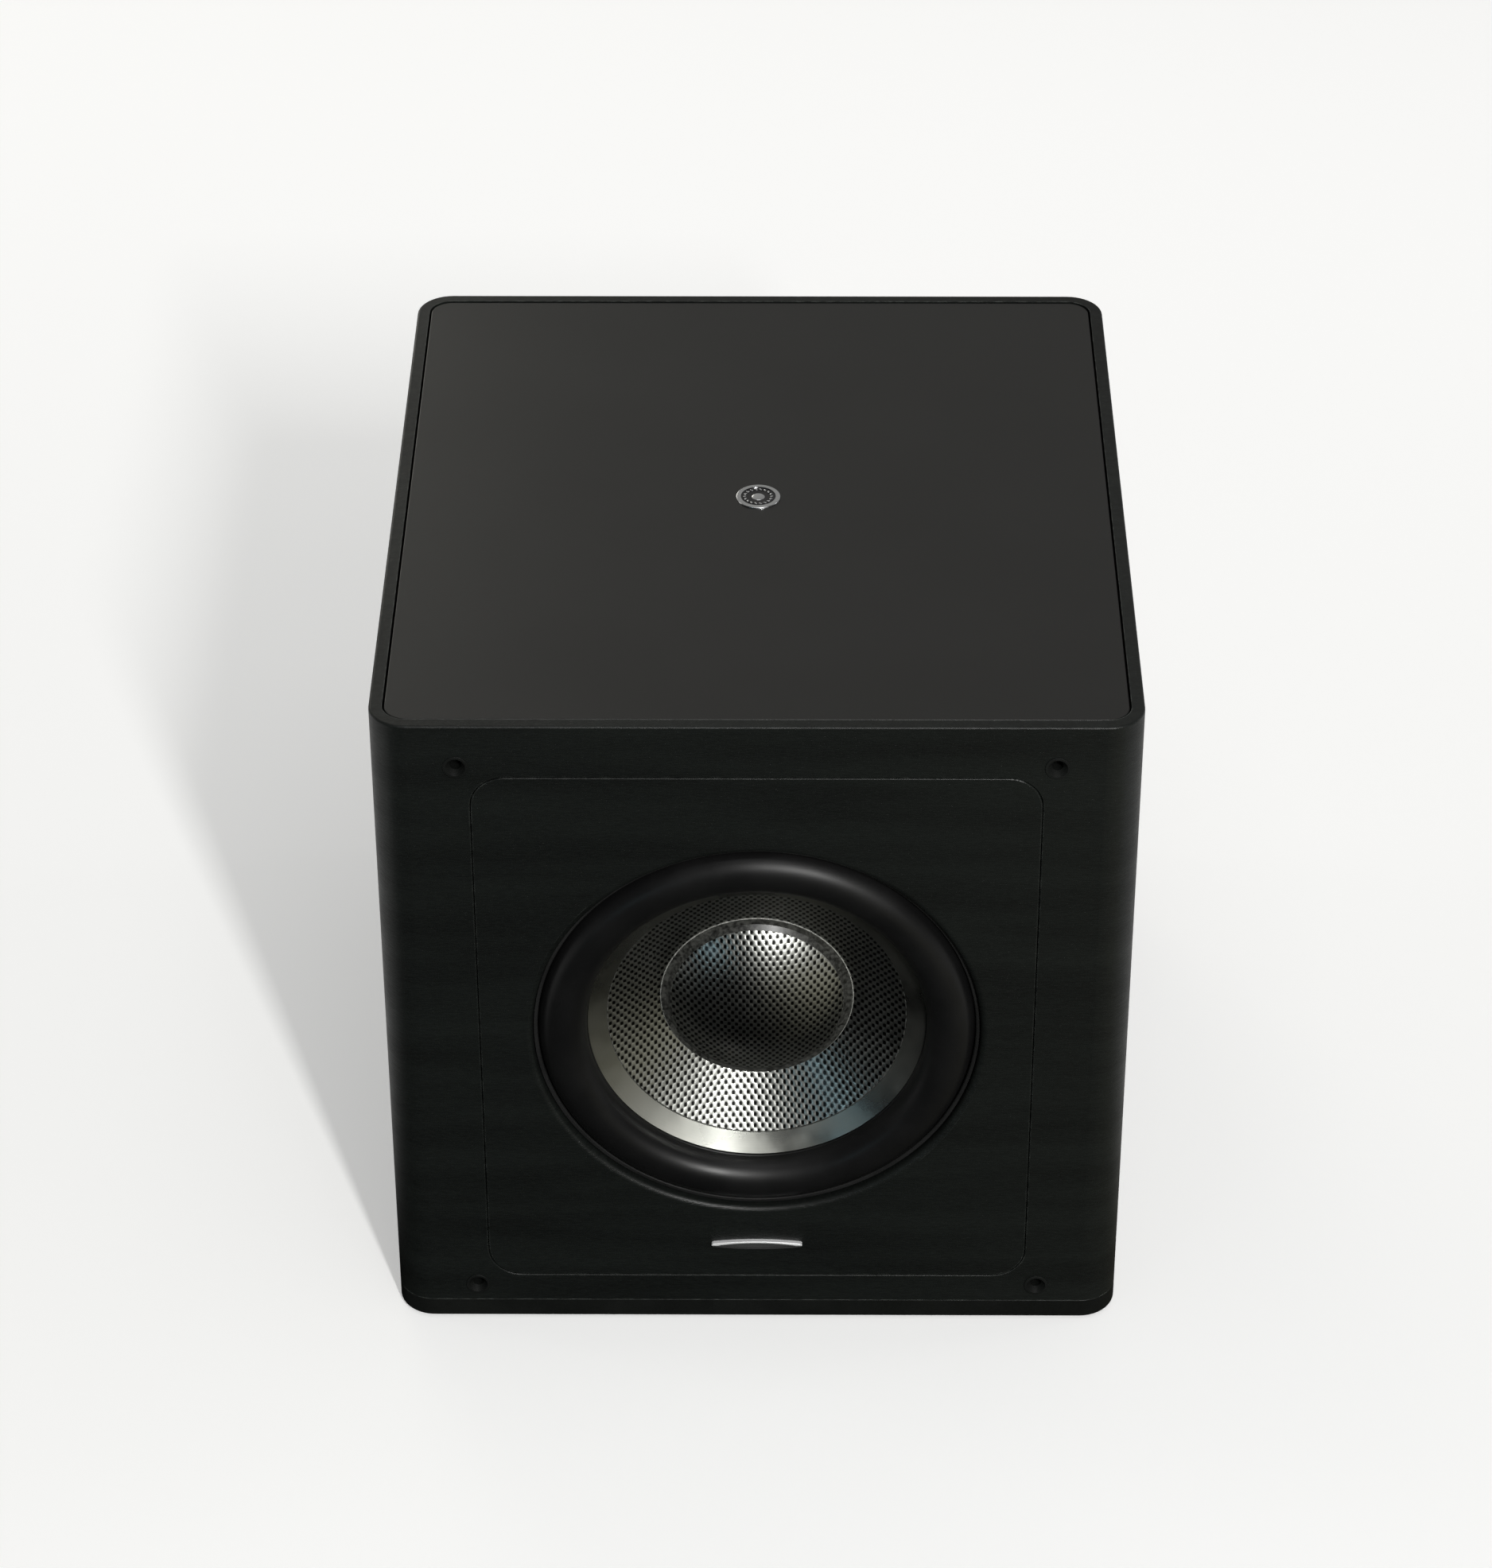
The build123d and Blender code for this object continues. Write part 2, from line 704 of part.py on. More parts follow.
with BuildPart() as trim_ring:
    with BuildSketch(driver_section):
        with BuildLine():
            Polyline(
                (land_radius - trim_width, trim_depth + 0.5),
                (land_radius - trim_width + 0.5, trim_depth),
                (land_radius, trim_depth),
                (land_radius, roll_depth),
                (land_radius - trim_width, roll_depth),
                close=True,
            )
        make_face()
    revolve(axis=driver_axis)
trim_ring.part.label = "trim_ring"
export_step(trim_ring.part, "parts/trim_ring.step")

former_outer = coil_radius
cone_neck = former_outer + glue_gap
collar_length = 6.0
collar_outer = cone_neck + 1.2
ring_inner = ring_outer - ring_width
cone_edge = ring_outer - 0.2

with BuildPart() as cone:
    with BuildSketch(driver_section):
        with BuildLine():
            Polyline(
                (cone_edge, cone_front(cone_edge) + ring_thickness),
                (cone_edge, cone_front(cone_edge) + cone_layer),
                (collar_outer, cone_front(collar_outer) + cone_layer),
                (collar_outer, cone_front(cone_neck) + cone_layer + collar_length),
                (cone_neck, cone_front(cone_neck) + cone_layer + collar_length),
                (cone_neck, cone_front(cone_neck) + ring_thickness),
                close=True,
            )
        make_face()
    revolve(axis=driver_axis)
cone.part.label = "cone"
export_step(cone.part, "parts/cone.step")

with BuildPart() as cone_ring:
    with BuildSketch(driver_section):
        with BuildLine():
            Polyline(
                (ring_outer, cone_front(ring_outer)),
                (ring_outer, cone_front(ring_outer) + ring_thickness),
                (ring_inner, cone_front(ring_inner) + ring_thickness),
                (ring_inner, cone_front(ring_inner)),
                close=True,
            )
        make_face()
    revolve(axis=driver_axis)
cone_ring.part.label = "cone_ring"
export_step(cone_ring.part, "parts/cone_ring.step")

cap_edge_depth = cone_front(cap_edge) - cap_edge_stand
cap_foot = cone_front(cap_outer) + ring_thickness - glue_gap - cap_wall
cap_crest = cap_edge_depth - cap_rise
cap_ball = (cap_rise**2 + cap_edge**2) / (2 * cap_rise)
cap_angle = asin(cap_edge / cap_ball)
cap_lip = cap_edge - 0.5
cap_skirt = cap_edge + 2.6
cap_inner_ball = cap_ball - cap_wall
cap_inner_angle = asin(cap_lip / cap_inner_ball)


def dome(ball, angle):
    """A point on one of the dust cap's two concentric balls, at an angle from its crest."""
    return (ball * sin(angle), cap_crest + cap_ball - ball * cos(angle))


with BuildPart() as dust_cap:
    with BuildSketch(driver_section):
        with BuildLine():
            ThreePointArc(dome(cap_ball, 0), dome(cap_ball, cap_angle / 2), dome(cap_ball, cap_angle))
            Polyline(
                dome(cap_ball, cap_angle),
                (cap_skirt, cap_foot - 0.6),
                (cap_outer, cap_foot),
                (cap_outer, cap_foot + cap_wall),
                (cap_skirt - 0.4, cap_foot - 0.6 + cap_wall),
                dome(cap_inner_ball, cap_inner_angle),
            )
            ThreePointArc(
                dome(cap_inner_ball, cap_inner_angle),
                dome(cap_inner_ball, cap_inner_angle / 2),
                dome(cap_inner_ball, 0),
            )
            Line(dome(cap_inner_ball, 0), dome(cap_ball, 0))
        make_face()
    revolve(axis=driver_axis)
dust_cap.part.label = "dust_cap"
export_step(dust_cap.part, "parts/dust_cap.step")

top_plate_front = seat_depth + basket_wall
top_plate_back = top_plate_front + plate_thickness
winding_middle = (top_plate_front + top_plate_back) / 2
winding_front = winding_middle - winding_length / 2
winding_back = winding_middle + winding_length / 2
former_front = cone_front(cone_neck) - 4.0

with BuildPart() as coil_former:
    with BuildSketch(driver_plane(former_front)):
        Circle(former_outer)
        Circle(former_outer - former_wall, mode=Mode.SUBTRACT)
    extrude(amount=former_front - winding_back - 1)
coil_former.part.label = "coil_former"
export_step(coil_former.part, "parts/coil_former.step")

with BuildPart() as voice_coil:
    with BuildSketch(driver_plane(winding_front)):
        Circle(former_outer + winding_wall)
        Circle(former_outer + 0.05, mode=Mode.SUBTRACT)
    extrude(amount=-winding_length)
voice_coil.part.label = "voice_coil"
export_step(voice_coil.part, "parts/voice_coil.step")

spider_inner = former_outer + 0.1
fold_start = spider_inner + 4.0
fold_end = 57.0
fold_step = (fold_end - fold_start) / (2 * spider_folds)
spider_front = landing_depth - spider_wall
spider_line = [(spider_inner, spider_front), (fold_start, spider_front)]
spider_line += [
    (fold_start + (step + 0.5) * fold_step, spider_front - spider_wave * (1 if step % 2 else -1))
    for step in range(2 * spider_folds)
]
spider_line += [(fold_end, spider_front), (spider_outer, spider_front)]

with BuildPart() as spider:
    with BuildSketch(driver_section):
        with BuildLine():
            Polyline(
                *spider_line,
                *[(radius, depth + spider_wall) for radius, depth in reversed(spider_line)],
                close=True,
            )
        make_face()
    revolve(axis=driver_axis)
spider.part.label = "spider"
export_step(spider.part, "parts/spider.step")

with BuildPart() as top_plate:
    with BuildSketch(driver_plane(top_plate_front)):
        Circle(magnet_radius - 8)
        Circle(former_outer + winding_wall + coil_gap, mode=Mode.SUBTRACT)
    extrude(amount=-plate_thickness)
top_plate.part.label = "top_plate"
export_step(top_plate.part, "parts/top_plate.step")

magnet_back = top_plate_back + 2 * magnet_thickness + glue_gap

with BuildPart() as magnet_rings:
    for front in (top_plate_back, top_plate_back + magnet_thickness + glue_gap):
        with BuildSketch(driver_plane(front)):
            Circle(magnet_radius)
            Circle(magnet_bore, mode=Mode.SUBTRACT)
        extrude(amount=-magnet_thickness)
magnet_rings.part.label = "magnet_rings"
export_step(magnet_rings.part, "parts/magnet_rings.step")

with BuildPart() as pole_yoke:
    with BuildSketch(driver_plane(magnet_back)):
        Circle(magnet_radius - 6)
    extrude(amount=-plate_thickness)
    with BuildSketch(driver_plane(magnet_back)):
        Circle(former_outer - former_wall - coil_gap)
    extrude(amount=magnet_back - top_plate_front + 1)
    with BuildSketch(driver_plane(magnet_back + plate_thickness)):
        Circle(pole_vent)
    extrude(amount=cabinet_depth, mode=Mode.SUBTRACT)
pole_yoke.part.label = "pole_yoke"
export_step(pole_yoke.part, "parts/pole_yoke.step")

boot_inner = magnet_radius + 0.3
boot_back = magnet_back + plate_thickness + boot_wall
boot_mouth = 42.0

with BuildPart() as magnet_boot:
    with BuildSketch(driver_section):
        with BuildLine():
            Polyline(
                (boot_inner, top_plate_back + 2),
                (boot_inner + boot_wall, top_plate_back + 2),
                (boot_inner + boot_wall, boot_back - 4),
                (boot_inner + boot_wall - 4, boot_back),
                (boot_mouth, boot_back),
                (boot_mouth, boot_back - boot_wall + glue_gap),
                (boot_inner - 3, boot_back - boot_wall + glue_gap),
                (boot_inner, boot_back - boot_wall - 3),
                close=True,
            )
        make_face()
    revolve(axis=driver_axis)
magnet_boot.part.label = "magnet_boot"
export_step(magnet_boot.part, "parts/magnet_boot.step")

terminal_low = spider_outer + 1.5
terminal_high = landing_outer - 4.5
terminal_front = landing_depth - 10.0
terminal_tab = landing_depth - 5.6
lead_x = 6.0

with BuildPart() as driver_terminals:
    with BuildSketch(driver_plane(landing_depth - glue_gap)):
        with Locations((0, (terminal_low + terminal_high) / 2)):
            Rectangle(20, terminal_high - terminal_low)
    extrude(amount=landing_depth - glue_gap - terminal_front)
    with BuildSketch(driver_plane(terminal_tab)):
        with Locations((-lead_x, terminal_high + 3), (lead_x, terminal_high + 3)):
            Rectangle(4.8, 8)
    extrude(amount=0.8)
driver_terminals.part.label = "driver_terminals"
export_step(driver_terminals.part, "parts/driver_terminals.step")

lead_radius = 0.8
lead_end_depth = cone_front(cone_neck) + cone_layer + 3.5
lead_end_radius = collar_outer + 0.2
lead_start_depth = terminal_front + 3.0

with BuildPart() as tinsel_leads:
    for side in (-1, 1):
        lead_plane = Plane(origin=(side * lead_x, front_y, driver_height), x_dir=(0, 1, 0), z_dir=(1, 0, 0))
        with BuildLine(lead_plane):
            lead_path = FilletPolyline(
                (lead_start_depth, terminal_low - glue_gap),
                (lead_start_depth, terminal_low - 8),
                (terminal_front - 3, 48),
                (terminal_front + 2, 36),
                (lead_end_depth, lead_end_radius + 1.5),
                radius=5,
            )
        with BuildSketch(Plane(origin=lead_path @ 0, z_dir=lead_path % 0)):
            Circle(lead_radius)
        sweep(path=lead_path)
tinsel_leads.part.label = "tinsel_leads"
export_step(tinsel_leads.part, "parts/tinsel_leads.step")

# ==== amplifier ====
cover_width = amp_width - 2 * amp_ledge - 2 * amp_cover_clearance
cover_height = amp_height - 2 * amp_ledge - 2 * amp_cover_clearance
amp_board_front = plate_inner - amp_board_setback - circuit_thickness
amp_board_width = 180.0
amp_board_height = 158.0
amp_board_middle = 150.0
control_board_middle = 286.0
control_board_height = 82.0
control_board_width = 196.0
cable_entry = amp_board_middle + amp_board_height / 2 - 11
inlet_flange_width = 34.0
inlet_flange_height = 42.0
inlet_body_width = 30.0
inlet_body_height = 36.0
switch_body_width = 19.0
switch_body_height = 24.0
plate_hole_gap = 0.25
lever_width = 4.0
lever_height = 3.6
slide_slot_width = lever_travel + lever_width + 0.6
slide_slot_height = lever_height + 0.8
inlet_cut_width = inlet_body_width + 2 * plate_hole_gap
inlet_cut_height = inlet_body_height + 2 * plate_hole_gap
switch_cut_width = switch_body_width + 2 * plate_hole_gap
switch_cut_height = switch_body_height + 2 * plate_hole_gap

with BuildPart() as amp_plate:
    with BuildSketch(upright(back_y)):
        with Locations((0, amp_middle)):
            RectangleRounded(amp_width, amp_height, amp_corner)
        with Locations(*amp_screw_places, *sink_screw_places):
            Circle(amp_pilot, mode=Mode.SUBTRACT)
        with Locations((level_x, knob_row), (lowpass_x, knob_row)):
            Circle(bushing_radius + plate_hole_gap, mode=Mode.SUBTRACT)
        with Locations((phase_x, knob_row)):
            Rectangle(slide_slot_width, slide_slot_height, mode=Mode.SUBTRACT)
        with Locations((led_x, led_z)):
            Circle(led_radius + led_fit, mode=Mode.SUBTRACT)
        for side in (-1, 1):
            for step in (-0.5, 0.5):
                with Locations((side * rca_pair_middle + step * rca_pair_pitch, rca_row)):
                    Circle(rca_thread + plate_hole_gap, mode=Mode.SUBTRACT)
        with Locations((inlet_x, inlet_z)):
            Rectangle(inlet_cut_width, inlet_cut_height, mode=Mode.SUBTRACT)
        with Locations((switch_x, switch_z)):
            Rectangle(switch_cut_width, switch_cut_height, mode=Mode.SUBTRACT)
    extrude(amount=amp_plate_thickness)
amp_plate.part.label = "amp_plate"
export_step(amp_plate.part, "parts/amp_plate.step")

with BuildPart() as amp_gasket:
    with BuildSketch(upright(plate_inner)):
        with Locations((0, amp_middle)):
            RectangleRounded(amp_width - amp_fit, amp_height - amp_fit, amp_corner)
            Rectangle(amp_width - 2 * amp_ledge, amp_height - 2 * amp_ledge, mode=Mode.SUBTRACT)
        with Locations(*amp_screw_places):
            Circle(amp_pilot, mode=Mode.SUBTRACT)
    extrude(amount=amp_gasket_thickness)
amp_gasket.part.label = "amp_gasket"
export_step(amp_gasket.part, "parts/amp_gasket.step")

with BuildPart() as amp_screws:
    for places, seat in ((amp_screw_places, back_y), (sink_screw_places, back_y + sink_base)):
        with BuildSketch(upright(seat)):
            with Locations(*places):
                Circle(amp_screw_head)
        extrude(amount=-amp_screw_head_height)
        fillet(amp_screws.faces().sort_by(Axis.Y)[-len(places):].edges(), 0.8)
        with BuildSketch(upright(seat + amp_screw_head_height)):
            with Locations(*places):
                Rectangle(3.6, 0.9)
                Rectangle(0.9, 3.6)
        extrude(amount=1.2, mode=Mode.SUBTRACT)
        with BuildSketch(upright(seat)):
            with Locations(*places):
                Circle(amp_screw_shank)
        extrude(amount=amp_screw_length - 2)
amp_screws.part.label = "amp_screws"
export_step(amp_screws.part, "parts/amp_screws.step")

with BuildPart() as heatsink:
    with BuildSketch(upright(back_y)):
        with Locations((0, sink_middle)):
            Rectangle(sink_width, sink_height)
        with Locations(*sink_screw_places):
            Circle(amp_pilot, mode=Mode.SUBTRACT)
    extrude(amount=-sink_base)
    with BuildSketch(upright(back_y + sink_base)):
        with Locations((0, sink_middle)):
            with GridLocations(fin_pitch, 0, fin_count, 1):
                Rectangle(fin_thickness, sink_height)
    extrude(amount=-fin_height)
heatsink.part.label = "heatsink"
export_step(heatsink.part, "parts/heatsink.step")

with BuildPart() as amp_cover:
    with BuildSketch(upright(plate_inner)):
        with Locations((0, amp_middle)):
            Rectangle(cover_width, cover_height)
    extrude(amount=amp_cover_depth)
    with BuildSketch(upright(plate_inner)):
        with Locations((0, amp_middle)):
            Rectangle(cover_width - 2 * amp_cover_wall, cover_height - 2 * amp_cover_wall)
    extrude(amount=amp_cover_depth - amp_cover_wall, mode=Mode.SUBTRACT)
    with BuildSketch(upright(plate_inner - amp_cover_depth)):
        with Locations((0, cable_entry)):
            SlotOverall(24, 8)
    extrude(amount=-2 * amp_cover_wall, mode=Mode.SUBTRACT)
amp_cover.part.label = "amp_cover"
export_step(amp_cover.part, "parts/amp_cover.step")

spacer_places = [
    (side * (amp_board_width / 2 - 6), amp_board_middle + end * (amp_board_height / 2 - 6))
    for side in (-1, 1)
    for end in (-1, 1)
]

with BuildPart() as amp_board:
    with BuildSketch(upright(plate_inner - amp_board_setback)):
        with Locations((0, amp_board_middle)):
            Rectangle(amp_board_width, amp_board_height)
        with Locations(*spacer_places):
            Circle(1.6, mode=Mode.SUBTRACT)
    extrude(amount=circuit_thickness)
amp_board.part.label = "amp_board"
export_step(amp_board.part, "parts/amp_board.step")

with BuildPart() as board_spacers:
    with BuildSketch(upright(plate_inner)):
        with Locations(*spacer_places):
            RegularPolygon(3.4, 6)
    extrude(amount=amp_board_setback)
    with BuildSketch(upright(plate_inner - amp_board_setback)):
        with Locations(*spacer_places):
            Circle(1.5)
    extrude(amount=circuit_thickness + 2)
board_spacers.part.label = "board_spacers"
export_step(board_spacers.part, "parts/board_spacers.step")

transformer_place = (-amp_board_width / 4, amp_board_middle - 40)
transformer_width = 58.0
transformer_height = 48.0
transformer_depth = 30.0
transformer_round = 2.0
capacitor_middle = (amp_board_width / 4, amp_board_middle - 35)
capacitor_pitch = 28.0
capacitor_radius = 11.0
capacitor_depth = 32.0
transistor_pitch = 34.0
transistor_width = 16.0
transistor_height = 21.0
transistor_thickness = 5.0

with BuildPart() as transformer:
    with BuildSketch(upright(amp_board_front)):
        with Locations(transformer_place):
            RectangleRounded(transformer_width, transformer_height, transformer_round + 1)
    extrude(amount=transformer_depth)
    fillet(transformer.faces().sort_by(Axis.Y)[0].edges(), transformer_round)
transformer.part.label = "transformer"
export_step(transformer.part, "parts/transformer.step")

with BuildPart() as filter_capacitors:
    with BuildSketch(upright(amp_board_front)):
        with Locations(capacitor_middle):
            with GridLocations(capacitor_pitch, capacitor_pitch, 2, 2):
                Circle(capacitor_radius)
    extrude(amount=capacitor_depth)
    fillet(filter_capacitors.faces().sort_by(Axis.Y)[0:4].edges(), 1)
filter_capacitors.part.label = "filter_capacitors"
export_step(filter_capacitors.part, "parts/filter_capacitors.step")

with BuildPart() as power_transistors:
    with BuildSketch(upright(plate_inner)):
        with Locations((0, sink_middle)):
            with GridLocations(transistor_pitch, 0, 4, 1):
                Rectangle(transistor_width, transistor_height)
    extrude(amount=transistor_thickness)
    with BuildSketch(upright(plate_inner - 2)):
        with Locations((0, sink_middle)):
            with GridLocations(transistor_pitch, 0, 4, 1):
                Circle(1.8)
    extrude(amount=transistor_thickness, mode=Mode.SUBTRACT)
power_transistors.part.label = "power_transistors"
export_step(power_transistors.part, "parts/power_transistors.step")

control_board_back = plate_inner - control_board_setback

with BuildPart() as control_board:
    with BuildSketch(upright(control_board_back)):
        with Locations((0, control_board_middle)):
            Rectangle(control_board_width, control_board_height)
    extrude(amount=circuit_thickness)
control_board.part.label = "control_board"
export_step(control_board.part, "parts/control_board.step")

knob_places = [(level_x, knob_row), (lowpass_x, knob_row)]
shaft_back = back_y + 10.0
shaft_front = plate_inner - 10.0

with BuildPart() as potentiometers:
    with BuildSketch(upright(control_board_back)):
        with Locations(*knob_places):
            Circle(pot_radius)
    extrude(amount=1 - control_board_setback)
    with BuildSketch(upright(plate_inner - 1)):
        with Locations(*knob_places):
            Circle(bushing_radius)
    extrude(amount=-(amp_plate_thickness + 3))
    with BuildSketch(upright(back_y + 2)):
        with Locations(*knob_places):
            Circle(shaft_radius + shaft_clearance)
    extrude(amount=2 + back_y - shaft_front + 0.3, mode=Mode.SUBTRACT)
potentiometers.part.label = "potentiometers"
export_step(potentiometers.part, "parts/potentiometers.step")

knob_front = back_y + 2.5
knob_back = knob_front + knob_length
grip_count = 24
grip_radius = 0.55
knob_round = 0.4
pointer_width = 1.2
pointer_length = knob_radius * 0.6
pointer_depth = 0.5
knob_grip = 0.02

with BuildPart() as level_shaft:
    with BuildSketch(upright(shaft_front)):
        with Locations((level_x, knob_row)):
            Circle(shaft_radius)
    extrude(amount=shaft_front - shaft_back)
level_shaft.part.label = "level_shaft"
export_step(level_shaft.part, "parts/level_shaft.step")

with BuildPart() as lowpass_shaft:
    with BuildSketch(upright(shaft_front)):
        with Locations((lowpass_x, knob_row)):
            Circle(shaft_radius)
    extrude(amount=shaft_front - shaft_back)
lowpass_shaft.part.label = "lowpass_shaft"
export_step(lowpass_shaft.part, "parts/lowpass_shaft.step")


def knob_plane(x, y):
    """A plane facing the back, centred on the control knob that stands at x."""
    return Plane(origin=(x, y, knob_row), x_dir=(-1, 0, 0), z_dir=(0, 1, 0))


with BuildPart() as level_knob:
    with BuildSketch(knob_plane(level_x, knob_front)):
        Circle(knob_radius)
        with PolarLocations(knob_radius, grip_count):
            Circle(grip_radius, mode=Mode.SUBTRACT)
    extrude(amount=knob_length)
    fillet(level_knob.faces().sort_by(Axis.Y)[-1].edges(), knob_round)
    with BuildSketch(knob_plane(level_x, knob_back)):
        with Locations((0, pointer_length)):
            Rectangle(pointer_width, pointer_length)
    extrude(amount=-pointer_depth, mode=Mode.SUBTRACT)
    with BuildSketch(knob_plane(level_x, knob_front)):
        Circle(shaft_radius + knob_grip)
    extrude(amount=shaft_back - knob_front + 0.2, mode=Mode.SUBTRACT)
level_knob.part.label = "level_knob"
export_step(level_knob.part, "parts/level_knob.step")

with BuildPart() as lowpass_knob:
    with BuildSketch(knob_plane(lowpass_x, knob_front)):
        Circle(knob_radius)
        with PolarLocations(knob_radius, grip_count):
            Circle(grip_radius, mode=Mode.SUBTRACT)
    extrude(amount=knob_length)
    fillet(lowpass_knob.faces().sort_by(Axis.Y)[-1].edges(), knob_round)
    with BuildSketch(knob_plane(lowpass_x, knob_back)):
        with Locations((0, pointer_length)):
            Rectangle(pointer_width, pointer_length)
    extrude(amount=-pointer_depth, mode=Mode.SUBTRACT)
    with BuildSketch(knob_plane(lowpass_x, knob_front)):
        Circle(shaft_radius + knob_grip)
    extrude(amount=shaft_back - knob_front + 0.2, mode=Mode.SUBTRACT)
lowpass_knob.part.label = "lowpass_knob"
export_step(lowpass_knob.part, "parts/lowpass_knob.step")

lever_depth = 6.7
lever_proud = 3.0
lever_rest = phase_x - lever_travel / 2

with BuildPart() as slide_switch:
    with BuildSketch(upright(plate_inner)):
        with Locations((phase_x, knob_row)):
            Rectangle(slide_slot_width + 5, 9)
    extrude(amount=control_board_setback)
    with BuildSketch(upright(plate_inner)):
        with Locations((phase_x, knob_row)):
            Rectangle(slide_slot_width, slide_slot_height)
    extrude(amount=lever_depth + 0.3, mode=Mode.SUBTRACT)
slide_switch.part.label = "slide_switch"
export_step(slide_switch.part, "parts/slide_switch.step")

with BuildPart() as phase_lever:
    with BuildSketch(upright(plate_inner - lever_depth)):
        with Locations((lever_rest, knob_row)):
            Rectangle(lever_width, lever_height)
    extrude(amount=-(lever_depth + amp_plate_thickness + lever_proud))
    fillet(phase_lever.faces().sort_by(Axis.Y)[-1].edges(), 0.5)
phase_lever.part.label = "phase_lever"
export_step(phase_lever.part, "parts/phase_lever.step")

rca_places = [
    (side * rca_pair_middle + step * rca_pair_pitch, rca_row) for side in (-1, 1) for step in (-0.5, 0.5)
]
rca_back = back_y + 10.0
rca_nut = 6.2
rca_nut_height = 1.6
rca_shell = 4.15
rca_bore = 3.45
rca_core = 3.4
rca_pin_hole = 1.6
rca_depth = 12.0

with BuildPart() as rca_shells:
    with BuildSketch(upright(control_board_back)):
        with Locations(*rca_places):
            Circle(rca_thread)
    extrude(amount=-control_board_setback - amp_plate_thickness)
    with BuildSketch(upright(back_y)):
        with Locations(*rca_places):
            Circle(rca_nut)
    extrude(amount=-rca_nut_height)
    with BuildSketch(upright(back_y + rca_nut_height)):
        with Locations(*rca_places):
            Circle(rca_shell)
    extrude(amount=back_y + rca_nut_height - rca_back)
    with BuildSketch(upright(rca_back)):
        with Locations(*rca_places):
            Circle(rca_bore)
    extrude(amount=rca_depth, mode=Mode.SUBTRACT)
rca_shells.part.label = "rca_shells"
export_step(rca_shells.part, "parts/rca_shells.step")

with BuildPart() as rca_cores:
    with BuildSketch(upright(rca_back - rca_depth)):
        with Locations(*rca_places):
            Circle(rca_core)
    extrude(amount=0.6 - rca_depth)
    with BuildSketch(upright(rca_back)):
        with Locations(*rca_places):
            Circle(rca_pin_hole)
    extrude(amount=rca_depth - 2, mode=Mode.SUBTRACT)
rca_cores.part.label = "rca_cores"
export_step(rca_cores.part, "parts/rca_cores.step")

with BuildPart() as status_led:
    with BuildSketch(upright(control_board_back)):
        with Locations((led_x, led_z)):
            Circle(led_radius)
    extrude(amount=-control_board_setback - amp_plate_thickness - 0.8)
    fillet(status_led.faces().sort_by(Axis.Y)[-1].edges(), 0.7)
status_led.part.label = "status_led"
export_step(status_led.part, "parts/status_led.step")

inlet_depth = 24.0
inlet_flange = 2.0
socket_width = 24.4
socket_height = 16.6
socket_deep = 17.0
socket_z = inlet_z + 6.5
drawer_width = 26.0
drawer_height = 8.0
drawer_z = inlet_z - 10.5
drawer_deep = 16.0
drawer_gap = 0.3
inlet_back = back_y + inlet_flange
socket_floor = inlet_back - socket_deep
pin_length = 12.0
pin_places = [(inlet_x - 7, socket_z - 2), (inlet_x, socket_z + 2), (inlet_x + 7, socket_z - 2)]

with BuildPart() as iec_inlet:
    with BuildSketch(upright(back_y)):
        with Locations((inlet_x, inlet_z)):
            RectangleRounded(inlet_flange_width, inlet_flange_height, 2)
    extrude(amount=-inlet_flange)
    fillet(iec_inlet.faces().sort_by(Axis.Y)[-1].edges(), 0.5)
    with BuildSketch(upright(back_y)):
        with Locations((inlet_x, inlet_z)):
            Rectangle(inlet_body_width, inlet_body_height)
    extrude(amount=inlet_depth)
    with BuildSketch(upright(inlet_back)):
        with BuildLine():
            Polyline(
                (inlet_x - socket_width / 2, socket_z - socket_height / 2),
                (inlet_x + socket_width / 2, socket_z - socket_height / 2),
                (inlet_x + socket_width / 2, socket_z + socket_height / 2 - 5),
                (inlet_x + socket_width / 2 - 5, socket_z + socket_height / 2),
                (inlet_x - socket_width / 2 + 5, socket_z + socket_height / 2),
                (inlet_x - socket_width / 2, socket_z + socket_height / 2 - 5),
                close=True,
            )
        make_face()
    extrude(amount=socket_deep, mode=Mode.SUBTRACT)
    with BuildSketch(upright(inlet_back)):
        with Locations((inlet_x, drawer_z)):
            Rectangle(drawer_width + 2 * drawer_gap, drawer_height + 2 * drawer_gap)
    extrude(amount=drawer_deep + drawer_gap, mode=Mode.SUBTRACT)
    with BuildSketch(upright(socket_floor)):
        with Locations(*pin_places):
            Rectangle(2, 4)
    extrude(amount=2.1, mode=Mode.SUBTRACT)
iec_inlet.part.label = "iec_inlet"
export_step(iec_inlet.part, "parts/iec_inlet.step")

with BuildPart() as iec_pins:
    with BuildSketch(upright(socket_floor - 2)):
        with Locations(*pin_places):
            Rectangle(1.9, 3.9)
    extrude(amount=-pin_length - 2)
    chamfer(iec_pins.faces().sort_by(Axis.Y)[-3:].edges(), 0.5)
iec_pins.part.label = "iec_pins"
export_step(iec_pins.part, "parts/iec_pins.step")

fuse_radius = 2.6
fuse_length = 20.0
fuse_y = inlet_back - 9.0

